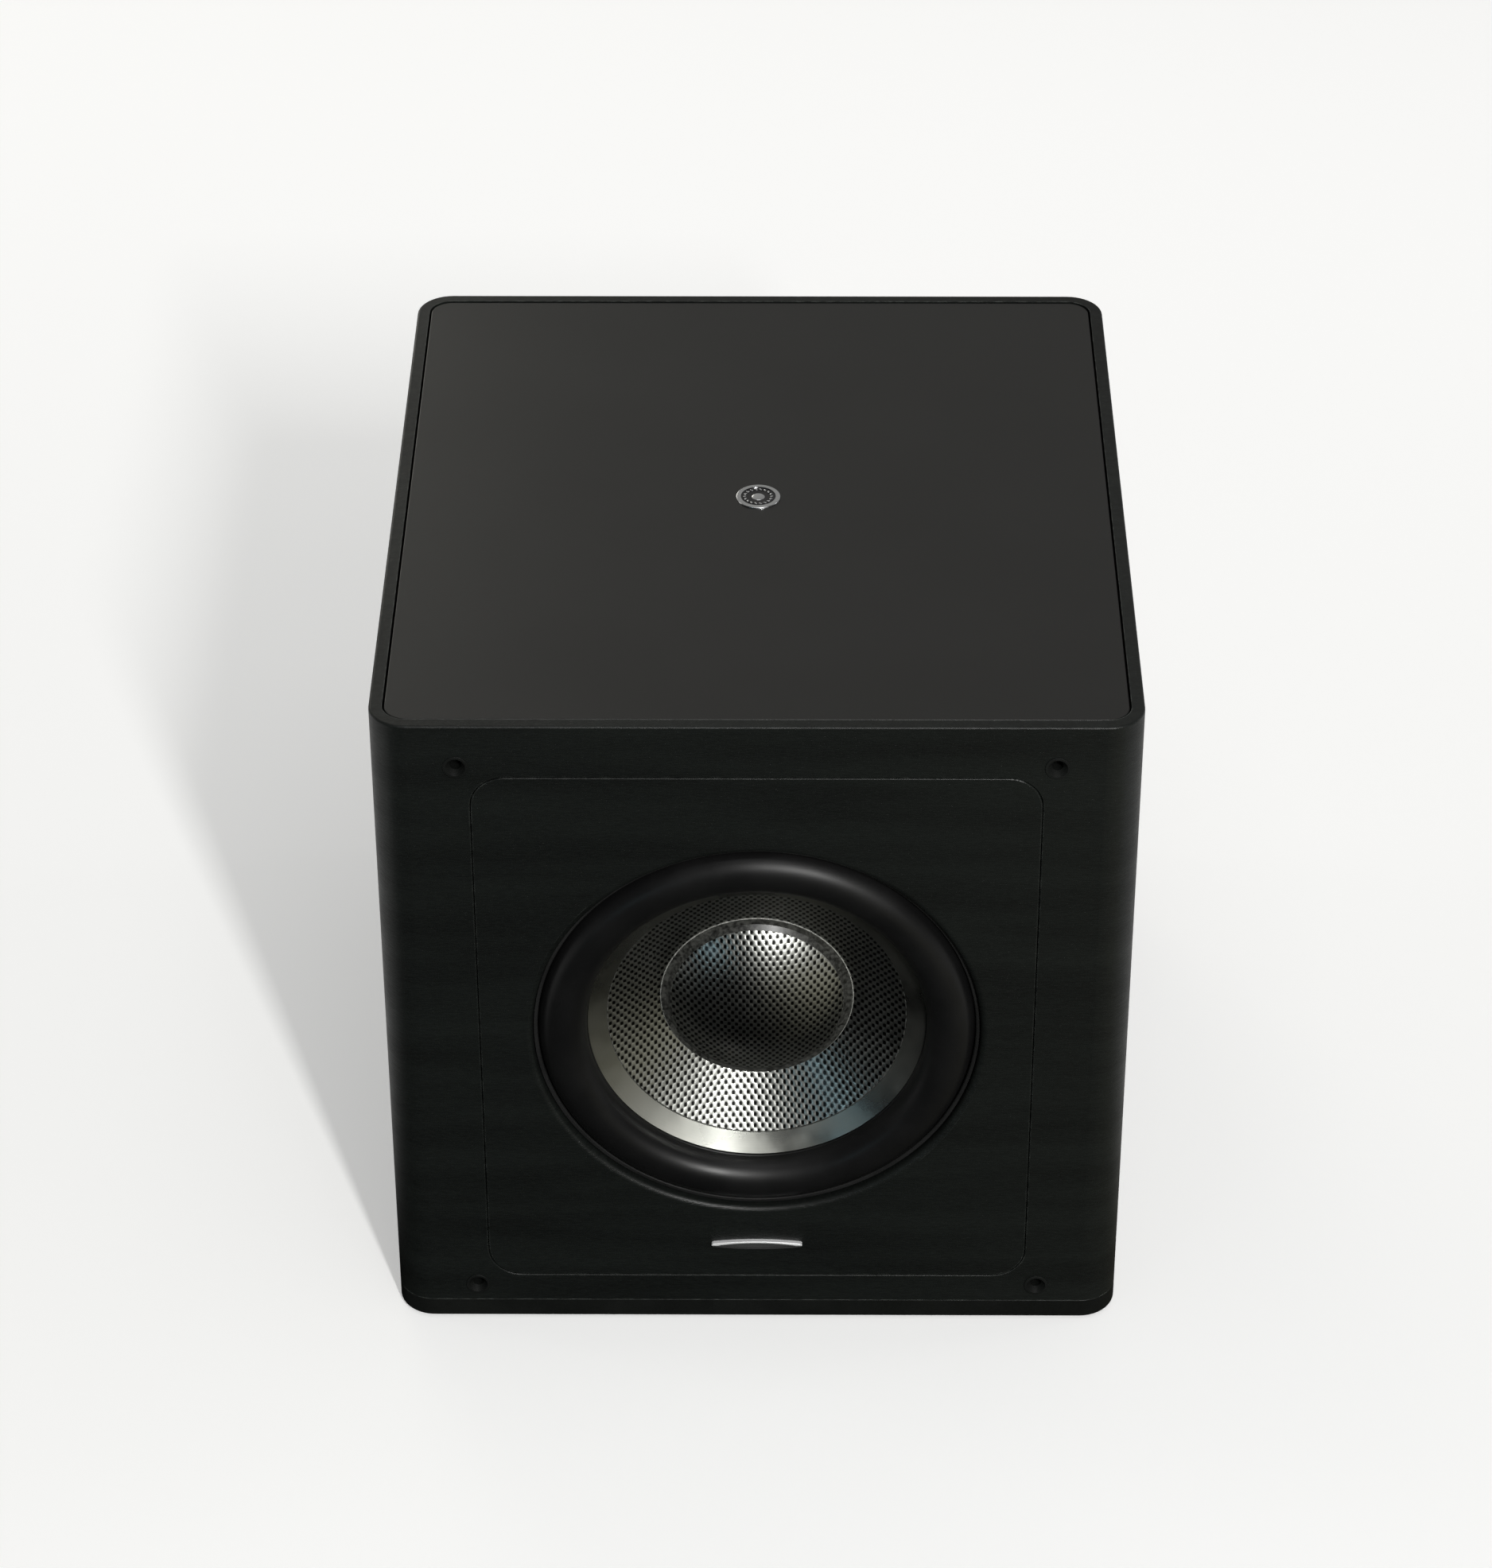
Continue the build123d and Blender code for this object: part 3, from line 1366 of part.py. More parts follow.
with BuildPart() as fuse_drawer:
    with BuildSketch(upright(inlet_back - drawer_deep)):
        with Locations((inlet_x, drawer_z)):
            Rectangle(drawer_width, drawer_height)
    extrude(amount=-drawer_deep - 0.4)
    with BuildSketch(upright(inlet_back + 0.4)):
        with Locations((inlet_x, drawer_z)):
            Rectangle(12, 1.4)
    extrude(amount=0.9, mode=Mode.SUBTRACT)
    with BuildSketch(Plane.XY.offset(drawer_z + drawer_height / 2)):
        with Locations((inlet_x, fuse_y)):
            Rectangle(fuse_length + 0.4, 2 * fuse_radius + 0.2)
    extrude(amount=-(drawer_height / 2 + fuse_radius + 0.1), mode=Mode.SUBTRACT)
fuse_drawer.part.label = "fuse_drawer"
export_step(fuse_drawer.part, "parts/fuse_drawer.step")

with BuildPart() as fuse:
    fuse_end = (inlet_x - fuse_length / 2, fuse_y, drawer_z)
    with BuildSketch(Plane(origin=fuse_end, x_dir=(0, 1, 0), z_dir=(1, 0, 0))):
        Circle(fuse_radius)
    extrude(amount=fuse_length)
fuse.part.label = "fuse"
export_step(fuse.part, "parts/fuse.step")

switch_flange = 1.8
switch_depth = 20.0
rocker_half = 8.6
rocker_face = 4.0
rocker_dip = 1.2
rocker_width = 13.0
rocker_tilt = 10.0
rocker_pivot_y = back_y + 0.6
rocker_pin = 1.5
rocker_side_gap = 0.3
rocker_corner = sqrt(rocker_half**2 + rocker_face**2)
rocker_well_half = rocker_corner + 0.3
rocker_plane = Plane(origin=(switch_x, rocker_pivot_y, switch_z), x_dir=(0, 1, 0), z_dir=(1, 0, 0))

with BuildPart() as power_switch:
    with BuildSketch(upright(back_y)):
        with Locations((switch_x, switch_z)):
            RectangleRounded(switch_body_width + 4, switch_body_height + 4, 2)
    extrude(amount=-switch_flange)
    fillet(power_switch.faces().sort_by(Axis.Y)[-1].edges(), 0.5)
    with BuildSketch(upright(back_y)):
        with Locations((switch_x, switch_z)):
            Rectangle(switch_body_width, switch_body_height)
    extrude(amount=switch_depth)
    with BuildSketch(upright(back_y + switch_flange)):
        with Locations((switch_x, switch_z)):
            Rectangle(rocker_width + 2 * rocker_side_gap, 2 * rocker_well_half)
    extrude(amount=switch_flange + 14, mode=Mode.SUBTRACT)
    with BuildSketch(rocker_plane):
        Circle(rocker_pin + 0.06)
    extrude(amount=rocker_width / 2 + 1.5, both=True, mode=Mode.SUBTRACT)
power_switch.part.label = "power_switch"
export_step(power_switch.part, "parts/power_switch.step")

rocker_turn = radians(rocker_tilt)


def tilted(out, up):
    """A point of the rocker's section, turned about its pivot to the off position."""
    return (out * cos(rocker_turn) - up * sin(rocker_turn), out * sin(rocker_turn) + up * cos(rocker_turn))


with BuildPart() as power_rocker:
    with BuildSketch(rocker_plane):
        with BuildLine():
            ThreePointArc(
                tilted(rocker_face, rocker_half),
                tilted(rocker_face - rocker_dip, 0),
                tilted(rocker_face, -rocker_half),
            )
            Polyline(
                tilted(rocker_face, -rocker_half),
                tilted(-2.5, -rocker_half + 0.6),
                tilted(-7.0, -3.0),
                tilted(-7.0, 3.0),
                tilted(-2.5, rocker_half - 0.6),
                tilted(rocker_face, rocker_half),
            )
        make_face()
    extrude(amount=rocker_width / 2, both=True)
    with BuildSketch(rocker_plane):
        Circle(rocker_pin)
    extrude(amount=rocker_width / 2 + 1.2, both=True)
power_rocker.part.label = "power_rocker"
export_step(power_rocker.part, "parts/power_rocker.step")

# ==== wiring inside the box ====
wire_radius = 1.6
wire_depth = landing_depth - 6.0
wire_start = terminal_high + 7.2

with BuildPart() as driver_cable:
    for side in (-1, 1):
        with BuildLine(Plane(origin=(side * lead_x, 0, 0), x_dir=(0, 1, 0), z_dir=(1, 0, 0))):
            wire_path = FilletPolyline(
                (front_y + wire_depth, driver_height + wire_start),
                (front_y + wire_depth, driver_height + wire_start + 34),
                (front_y + brace_depth - 80, driver_height + wire_start + 44),
                (front_y + brace_depth + 60, driver_height + wire_start + 36),
                (amp_board_front - 90, cable_entry),
                (amp_board_front - 0.2, cable_entry),
                radius=16,
            )
        with BuildSketch(Plane(origin=wire_path @ 0, z_dir=wire_path % 0)):
            Circle(wire_radius)
        sweep(path=wire_path)
driver_cable.part.label = "driver_cable"
export_step(driver_cable.part, "parts/driver_cable.step")
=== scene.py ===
import json
import math

import bmesh
import bpy
from mathutils import Matrix, Vector
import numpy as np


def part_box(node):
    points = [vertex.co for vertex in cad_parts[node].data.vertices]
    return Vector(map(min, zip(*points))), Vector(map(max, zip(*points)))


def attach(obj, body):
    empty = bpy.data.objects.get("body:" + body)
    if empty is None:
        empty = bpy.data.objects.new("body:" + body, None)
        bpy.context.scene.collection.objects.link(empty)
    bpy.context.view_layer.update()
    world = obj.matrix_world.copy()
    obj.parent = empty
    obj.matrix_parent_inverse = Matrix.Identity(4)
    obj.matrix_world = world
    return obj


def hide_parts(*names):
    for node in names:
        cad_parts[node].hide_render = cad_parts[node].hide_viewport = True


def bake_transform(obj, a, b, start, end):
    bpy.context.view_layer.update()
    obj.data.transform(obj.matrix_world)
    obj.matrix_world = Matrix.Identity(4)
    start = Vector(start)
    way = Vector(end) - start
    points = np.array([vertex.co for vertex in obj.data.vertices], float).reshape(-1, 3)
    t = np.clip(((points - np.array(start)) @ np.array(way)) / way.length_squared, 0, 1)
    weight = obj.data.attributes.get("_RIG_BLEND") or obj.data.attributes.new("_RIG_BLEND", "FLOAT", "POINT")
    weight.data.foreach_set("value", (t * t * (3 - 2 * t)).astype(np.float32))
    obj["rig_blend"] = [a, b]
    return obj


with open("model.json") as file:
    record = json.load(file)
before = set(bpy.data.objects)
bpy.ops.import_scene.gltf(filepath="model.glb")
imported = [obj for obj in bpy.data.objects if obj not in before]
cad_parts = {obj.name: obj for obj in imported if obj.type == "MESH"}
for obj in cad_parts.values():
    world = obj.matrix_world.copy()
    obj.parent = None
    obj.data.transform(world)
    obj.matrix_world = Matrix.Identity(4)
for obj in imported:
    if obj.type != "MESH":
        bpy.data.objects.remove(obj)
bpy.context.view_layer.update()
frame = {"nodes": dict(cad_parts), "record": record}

MM = 0.001
LEFT_AND_RIGHT = (-1, 1)

# ---- places, taken from the frame ----
shell_low, shell_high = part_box("cabinet_shell")
trim_low, trim_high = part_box("trim_ring")
ring_low, ring_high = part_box("cone_ring")
cap_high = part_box("dust_cap")[1]
former_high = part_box("coil_former")[1]
rolled_low, rolled_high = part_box("surround")
spider_low, spider_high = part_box("spider")
leads_low, leads_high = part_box("tinsel_leads")
plate_low, plate_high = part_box("amp_plate")
level_low, level_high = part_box("level_knob")
lowpass_low, lowpass_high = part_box("lowpass_knob")
rocker_low, rocker_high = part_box("power_rocker")
jack_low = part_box("rca_shells")[0]
driver_z = (trim_low.z + trim_high.z) / 2
front_y = shell_low.y
panel_y = plate_high.y
print_y = panel_y + 0.03 * MM
cap_edge = cap_high.x - 5.23 * MM
ring_width = 10.03 * MM
cone_slope = 0.602
weld_distance = 0.001 * MM


# ---- shader building ----
def add_node(tree, kind, inputs=None, **settings):
    """Adds a node. Each input is a plain value or another node's output."""
    made = tree.nodes.new(kind)
    for name, value in settings.items():
        setattr(made, name, value)
    for socket, value in (inputs or {}).items():
        if isinstance(value, bpy.types.NodeSocket):
            tree.links.new(value, made.inputs[socket])
        else:
            made.inputs[socket].default_value = value
    return made


def calculate(tree, operation, *values):
    """One Math node's output."""
    return add_node(tree, "ShaderNodeMath", dict(enumerate(values)), operation=operation).outputs[0]


def remap(tree, value, low, high, new_low, new_high):
    """A value taken from one range to another, smoothly."""
    inputs = {"Value": value, "From Min": low, "From Max": high, "To Min": new_low, "To Max": new_high}
    return add_node(tree, "ShaderNodeMapRange", inputs, interpolation_type="SMOOTHSTEP").outputs["Result"]


def mix_colours(tree, factor, first, second):
    """A colour between two others."""
    return add_node(tree, "ShaderNodeMix", {0: factor, 6: first, 7: second}, data_type="RGBA").outputs[2]


def object_places(tree):
    """The coordinates of the finished object, in metres."""
    return add_node(tree, "ShaderNodeTexCoord").outputs["Object"]


def effect_group(name, inputs, outputs):
    """An empty node group with named sockets, its input node and its output node."""
    tree = bpy.data.node_groups.new(name, "ShaderNodeTree")
    for socket, value in inputs.items():
        kind = "NodeSocketVector" if isinstance(value, tuple) else "NodeSocketFloat"
        tree.interface.new_socket(socket, in_out="INPUT", socket_type=kind).default_value = value
    for socket in outputs:
        tree.interface.new_socket(socket, in_out="OUTPUT", socket_type="NodeSocketFloat")
    return tree, tree.nodes.new("NodeGroupInput"), tree.nodes.new("NodeGroupOutput")


def noise_at(tree, places, stretch, scale, detail=3.0, roughness=0.55):
    """A noise value on stretched coordinates."""
    stretched = add_node(tree, "ShaderNodeVectorMath", {0: places, 1: stretch}, operation="MULTIPLY").outputs[0]
    inputs = {"Vector": stretched, "Scale": scale, "Detail": detail, "Roughness": roughness}
    return add_node(tree, "ShaderNodeTexNoise", inputs).outputs["Fac"]


def build_skin_group():
    """Fine texture, broad marks and a height for any moulded, cast, rolled or painted surface."""
    tree, given, result = effect_group(
        "surface_skin",
        {"Stretch": (1.0, 1.0, 1.0), "Fine Scale": 1200.0, "Broad Scale": 30.0, "Fine Part": 0.5},
        ("Fine", "Broad", "Tone", "Height"),
    )
    places = object_places(tree)
    fine = noise_at(tree, places, given.outputs["Stretch"], given.outputs["Fine Scale"], 2.0)
    broad = noise_at(tree, places, given.outputs["Stretch"], given.outputs["Broad Scale"], 4.0)
    fine = remap(tree, fine, 0.3, 0.7, 0.0, 1.0)
    broad = remap(tree, broad, 0.3, 0.7, 0.0, 1.0)
    fine_share = calculate(tree, "MULTIPLY", fine, given.outputs["Fine Part"])
    broad_part = calculate(tree, "SUBTRACT", 1.0, given.outputs["Fine Part"])
    broad_share = calculate(tree, "MULTIPLY", broad, broad_part)
    tree.links.new(fine, result.inputs["Fine"])
    tree.links.new(broad, result.inputs["Broad"])
    tree.links.new(calculate(tree, "ADD", fine_share, broad_share), result.inputs["Tone"])
    tree.links.new(fine, result.inputs["Height"])
    return tree


def build_edge_wear_and_highlight_group():
    """A mask that is 1 on sharp convex edges, broken up by noise."""
    tree, given, result = effect_group("worn_and_highlit_edges", {"Width": 0.6 * MM, "Strength": 1.0}, ("Mask",))
    rounded = add_node(tree, "ShaderNodeBevel", {"Radius": given.outputs["Width"]}, samples=4).outputs[0]
    flat = add_node(tree, "ShaderNodeNewGeometry").outputs["Normal"]
    facing = add_node(tree, "ShaderNodeVectorMath", {0: rounded, 1: flat}, operation="DOT_PRODUCT").outputs["Value"]
    edge = remap(tree, facing, 0.995, 0.86, 0.0, 1.0)
    broken = noise_at(tree, object_places(tree), (1.0, 1.0, 1.0), 160.0, 4.0)
    broken = remap(tree, broken, 0.40, 0.62, 0.15, 1.0)
    mask = calculate(tree, "MULTIPLY", calculate(tree, "MULTIPLY", edge, broken), given.outputs["Strength"])
    tree.links.new(mask, result.inputs["Mask"])
    return tree


def build_weave_group():
    """A plain weave on the front plane: bright tows over dark ones, with dark gaps between them. The bright over tows
    are a painted highlight; the dark under tows and the gaps are painted shade.
    """
    tree, given, result = effect_group(
        "plain_weave", {"Pitch": 2.0 * MM, "Wander": 0.06}, ("Over Glint", "Gap Shade", "Height", "Fibre")
    )
    places = object_places(tree)
    wander = noise_at(tree, places, (1.0, 1.0, 1.0), 90.0, 1.0)
    wander = calculate(tree, "MULTIPLY", calculate(tree, "SUBTRACT", wander, 0.5), given.outputs["Wander"])
    split = add_node(tree, "ShaderNodeSeparateXYZ", {0: places})
    turns = calculate(tree, "DIVIDE", math.pi, given.outputs["Pitch"])
    upright_turns = calculate(tree, "MULTIPLY", turns, 0.76)
    across = calculate(tree, "MULTIPLY", split.outputs["X"], turns)
    along = calculate(tree, "MULTIPLY", split.outputs["Z"], upright_turns)
    across = calculate(tree, "ADD", across, calculate(tree, "MULTIPLY", wander, 6.0))
    along = calculate(tree, "ADD", along, calculate(tree, "MULTIPLY", wander, 8.0))
    crossing = calculate(tree, "MULTIPLY", calculate(tree, "SINE", across), calculate(tree, "SINE", along))
    # The over mask marks where a painted highlight goes; the gap mask marks where painted shade goes.
    over = remap(tree, crossing, -0.52, 0.16, 0.0, 1.0)
    gap_shade = remap(tree, crossing, -0.98, -0.40, 1.0, 0.0)
    fibre = noise_at(tree, places, (1.0, 1.0, 9.0), 900.0, 2.0)
    tree.links.new(over, result.inputs["Over Glint"])
    tree.links.new(gap_shade, result.inputs["Gap Shade"])
    tree.links.new(remap(tree, crossing, -1.0, 1.0, 0.0, 1.0), result.inputs["Height"])
    tree.links.new(fibre, result.inputs["Fibre"])
    return tree


def build_turned_group():
    """Fine turned lines around the driver's axis."""
    tree, given, result = effect_group("turned_lines", {"Scale": 2600.0}, ("Line", "Radius"))
    middle = (0.0, 0.0, driver_z)
    centred = add_node(tree, "ShaderNodeVectorMath", {0: object_places(tree), 1: middle}, operation="SUBTRACT")
    flat = add_node(tree, "ShaderNodeVectorMath", {0: centred.outputs[0], 1: (1.0, 0.0, 1.0)}, operation="MULTIPLY")
    radius = add_node(tree, "ShaderNodeVectorMath", {0: flat.outputs[0]}, operation="LENGTH").outputs["Value"]
    inputs = {"W": radius, "Scale": given.outputs["Scale"], "Detail": 3.0}
    line = add_node(tree, "ShaderNodeTexNoise", inputs, noise_dimensions="1D").outputs["Fac"]
    tree.links.new(line, result.inputs["Line"])
    tree.links.new(radius, result.inputs["Radius"])
    return tree


skin_group = build_skin_group()
edge_wear_and_highlight_group = build_edge_wear_and_highlight_group()
weave_group = build_weave_group()
turned_group = build_turned_group()


def place_group(tree, group, **values):
    """Puts a node group into a material with its own values."""
    made = tree.nodes.new("ShaderNodeGroup")
    made.node_tree = group
    for name, value in values.items():
        made.inputs[name.replace("_", " ")].default_value = value
    return made


def new_material(name, **values):
    """A material with one Principled shader, whose even values are set on its own sockets."""
    material = bpy.data.materials.new(name)
    material.use_nodes = True
    tree = material.node_tree
    tree.nodes.clear()
    output = tree.nodes.new("ShaderNodeOutputMaterial")
    shader = tree.nodes.new("ShaderNodeBsdfPrincipled")
    tree.links.new(shader.outputs["BSDF"], output.inputs["Surface"])
    for socket, value in values.items():
        shader.inputs[socket.replace("_", " ")].default_value = value
    return material, tree, shader


def colour(red, green, blue):
    return (red, green, blue, 1.0)


def add_bump(tree, shader, height, distance, strength=1.0):
    bump = add_node(tree, "ShaderNodeBump", {"Height": height, "Distance": distance, "Strength": strength})
    tree.links.new(bump.outputs["Normal"], shader.inputs["Normal"])
    return bump


def surface_finish(
    name, dark, light, roughness, *, rough_spread=0.08, stretch=(1.0, 1.0, 1.0), fine_scale=1200.0,
    broad_scale=30.0, fine_part=0.5, bump=0.02 * MM, wear=0.0, wear_colour=(0.3, 0.3, 0.3), **values
):
    """A material with a tone, a roughness and a relief that change over the surface."""
    material, tree, shader = new_material(name, **values)
    skin = place_group(
        tree, skin_group, Stretch=stretch, Fine_Scale=fine_scale, Broad_Scale=broad_scale, Fine_Part=fine_part
    )
    base = mix_colours(tree, skin.outputs["Tone"], colour(*dark), colour(*light))
    rough = remap(tree, skin.outputs["Broad"], 0.0, 1.0, roughness - rough_spread, roughness + rough_spread)
    if wear:
        edges = place_group(tree, edge_wear_and_highlight_group, Strength=wear)
        base = mix_colours(tree, edges.outputs["Mask"], base, colour(*wear_colour))
    tree.links.new(base, shader.inputs["Base Color"])
    tree.links.new(rough, shader.inputs["Roughness"])
    add_bump(tree, shader, skin.outputs["Height"], bump)
    return material


# ---- materials ----
def badge_metal():
    """Bright along the badge's upper edge as a painted highlight, and dark below it."""
    low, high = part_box("badge_bar")
    material, tree, shader = new_material("badge_metal", Metallic=0.3)
    skin = place_group(tree, skin_group, Stretch=(1.0, 8.0, 8.0), Fine_Scale=1500.0)
    split = add_node(tree, "ShaderNodeSeparateXYZ", {0: object_places(tree)})
    # Painted highlight: a bright silver band along the top edge, with dark metal below it.
    painted_highlight = remap(tree, split.outputs["Z"], high.z - 3.2 * MM, high.z - 2.4 * MM, 0.0, 1.0)
    bright = mix_colours(tree, skin.outputs["Tone"], colour(0.84, 0.84, 0.85), colour(0.96, 0.96, 0.97))
    tree.links.new(mix_colours(tree, painted_highlight, colour(0.055, 0.055, 0.055), bright), shader.inputs["Base Color"])
    tree.links.new(remap(tree, skin.outputs["Broad"], 0.0, 1.0, 0.36, 0.44), shader.inputs["Roughness"])
    add_bump(tree, shader, skin.outputs["Height"], 0.004 * MM)
    return material


def grained_black():
    """Black stained wood: a horizontal grain of short fibres, pores and faint broad bands."""
    material, tree, shader = new_material("grained_black", Specular_IOR_Level=0.30)
    places = object_places(tree)
    fibres = noise_at(tree, places, (1.0, 1.0, 9.0), 190.0, 4.0, 0.6)
    pores = noise_at(tree, places, (1.0, 1.0, 7.0), 520.0, 2.0, 0.7)
    bands = noise_at(tree, places, (0.10, 0.10, 1.0), 46.0, 3.0, 0.5)
    fibres = remap(tree, fibres, 0.36, 0.66, 0.0, 1.0)
    pores = remap(tree, pores, 0.55, 0.75, 0.0, 1.0)
    bands = remap(tree, bands, 0.32, 0.68, 0.0, 1.0)
    tone = calculate(tree, "ADD", calculate(tree, "MULTIPLY", fibres, 0.45), calculate(tree, "MULTIPLY", bands, 0.55))
    base = mix_colours(tree, tone, colour(0.0042, 0.0050, 0.0046), colour(0.0110, 0.0130, 0.0118))
    base = mix_colours(tree, calculate(tree, "MULTIPLY", pores, 0.5), base, colour(0.0180, 0.0200, 0.0180))
    # Convex edges and the seam's fillets turn light grey: partly wear, partly a painted highlight.
    edges = place_group(tree, edge_wear_and_highlight_group, Width=0.8 * MM, Strength=0.95)
    base = mix_colours(tree, edges.outputs["Mask"], base, colour(0.120, 0.130, 0.121))
    tree.links.new(base, shader.inputs["Base Color"])
    tree.links.new(remap(tree, tone, 0.0, 1.0, 0.44, 0.34), shader.inputs["Roughness"])
    height = calculate(tree, "SUBTRACT", fibres, calculate(tree, "MULTIPLY", pores, 0.8))
    add_bump(tree, shader, height, 0.035 * MM)
    return material


def woven_fibre(name, skirt_radius):
    """Woven fibre under clear resin, with plain resin outside a radius where the cap has its skirt."""
    material, tree, shader = new_material(name, Coat_Roughness=0.12, Specular_IOR_Level=0.5)
    weave = place_group(tree, weave_group)
    smudge = place_group(tree, skin_group, Broad_Scale=26.0, Fine_Scale=500.0)
    turned = place_group(tree, turned_group)
    skirt = remap(tree, turned.outputs["Radius"], skirt_radius, skirt_radius + 0.25 * MM, 0.0, 1.0)
    # The over tows take a painted highlight colour, and the under tows and the gaps take a painted shade.
    bright = mix_colours(tree, weave.outputs["Fibre"], colour(0.36, 0.37, 0.35), colour(0.74, 0.75, 0.71))
    tows = mix_colours(tree, weave.outputs["Over Glint"], colour(0.016, 0.016, 0.014), bright)
    cloth = mix_colours(tree, weave.outputs["Gap Shade"], tows, colour(0.004, 0.004, 0.004))
    resin = mix_colours(tree, smudge.outputs["Fine"], colour(0.010, 0.010, 0.009), colour(0.060, 0.060, 0.055))
    tree.links.new(mix_colours(tree, skirt, cloth, resin), shader.inputs["Base Color"])
    tree.links.new(calculate(tree, "SUBTRACT", 1.0, skirt), shader.inputs["Metallic"])
    tree.links.new(remap(tree, smudge.outputs["Tone"], 0.0, 1.0, 0.27, 0.35), shader.inputs["Roughness"])
    tree.links.new(remap(tree, smudge.outputs["Broad"], 0.0, 1.0, 0.25, 0.4), shader.inputs["Coat Weight"])
    relief = calculate(tree, "MULTIPLY", weave.outputs["Height"], calculate(tree, "SUBTRACT", 1.0, skirt))
    bump = add_bump(tree, shader, relief, 0.12 * MM)
    geometry = add_node(tree, "ShaderNodeNewGeometry")
    off_apex = remap(tree, turned.outputs["Radius"], 3.1 * MM, 3.3 * MM, 0.0, 1.0)
    # The mesh's own normal is undefined at the very middle of the dome, so the face's normal is used there.
    smooth = mix_colours(tree, off_apex, geometry.outputs["True Normal"], geometry.outputs["Normal"])
    tree.links.new(smooth, bump.inputs["Normal"])
    return material


def satin_aluminium():
    """Turned and anodised metal, for the cone's ring and the coil former."""
    material, tree, shader = new_material("satin_aluminium", Metallic=1.0)
    turned = place_group(tree, turned_group)
    smudge = place_group(tree, skin_group, Broad_Scale=22.0)
    tone = calculate(tree, "MULTIPLY", calculate(tree, "ADD", turned.outputs["Line"], smudge.outputs["Broad"]), 0.5)
    tree.links.new(
        mix_colours(tree, tone, colour(0.32, 0.33, 0.31), colour(0.45, 0.45, 0.41)), shader.inputs["Base Color"]
    )
    tree.links.new(remap(tree, smudge.outputs["Broad"], 0.0, 1.0, 0.26, 0.38), shader.inputs["Roughness"])
    add_bump(tree, shader, turned.outputs["Line"], 0.012 * MM)
    return material


def banded_material(name, axis, pitch, ridge, valley, **values):
    """Even ridges along one axis: windings, braids and ribbed cloth."""
    material, tree, shader = new_material(name, **values)
    split = add_node(tree, "ShaderNodeSeparateXYZ", {0: object_places(tree)})
    wave = calculate(tree, "SINE", calculate(tree, "MULTIPLY", split.outputs[axis], math.tau / pitch))
    ridges = remap(tree, wave, -1.0, 1.0, 0.0, 1.0)
    skin = place_group(tree, skin_group)
    shade = calculate(tree, "MULTIPLY", ridges, remap(tree, skin.outputs["Tone"], 0.0, 1.0, 0.7, 1.0))
    tree.links.new(mix_colours(tree, shade, colour(*valley), colour(*ridge)), shader.inputs["Base Color"])
    tree.links.new(remap(tree, skin.outputs["Broad"], 0.0, 1.0, 0.35, 0.5), shader.inputs["Roughness"])
    add_bump(tree, shader, ridges, pitch * 0.15)
    return material


def two_tone(name, axis, period, offset, first, second, roughness, **values):
    """Insulation in two colours that take turns along an axis."""
    material, tree, shader = new_material(name, **values)
    split = add_node(tree, "ShaderNodeSeparateXYZ", {0: object_places(tree)})
    turn = calculate(tree, "DIVIDE", calculate(tree, "ADD", split.outputs[axis], offset), period)
    side = calculate(tree, "GREATER_THAN", calculate(tree, "FRACT", turn), 0.5)
    skin = place_group(tree, skin_group, Fine_Scale=1800.0)
    base = mix_colours(tree, side, colour(*first), colour(*second))
    worn = mix_colours(tree, calculate(tree, "MULTIPLY", skin.outputs["Tone"], 0.25), base, colour(0.1, 0.1, 0.1))
    tree.links.new(worn, shader.inputs["Base Color"])
    tree.links.new(
        remap(tree, skin.outputs["Broad"], 0.0, 1.0, roughness - 0.06, roughness + 0.06), shader.inputs["Roughness"]
    )
    add_bump(tree, shader, skin.outputs["Height"], 0.02 * MM)
    return material


def circuit_board():
    """Green solder mask with copper tracks under it."""
    material, tree, shader = new_material("circuit_board", Coat_Roughness=0.1)
    cells = add_node(tree, "ShaderNodeTexBrick", {"Vector": object_places(tree), "Scale": 130.0, "Mortar Size": 0.06})
    skin = place_group(tree, skin_group, Fine_Scale=900.0)
    mask = mix_colours(tree, skin.outputs["Tone"], colour(0.006, 0.050, 0.022), colour(0.010, 0.085, 0.036))
    tree.links.new(
        mix_colours(tree, cells.outputs["Fac"], mask, colour(0.030, 0.16, 0.060)), shader.inputs["Base Color"]
    )
    tree.links.new(remap(tree, skin.outputs["Broad"], 0.0, 1.0, 0.28, 0.40), shader.inputs["Roughness"])
    tree.links.new(remap(tree, skin.outputs["Broad"], 0.0, 1.0, 0.3, 0.5), shader.inputs["Coat Weight"])
    add_bump(tree, shader, cells.outputs["Fac"], 0.03 * MM)
    return material


GREY_WEAR = (0.16, 0.16, 0.16)
STEEL_WEAR = (0.45, 0.45, 0.46)

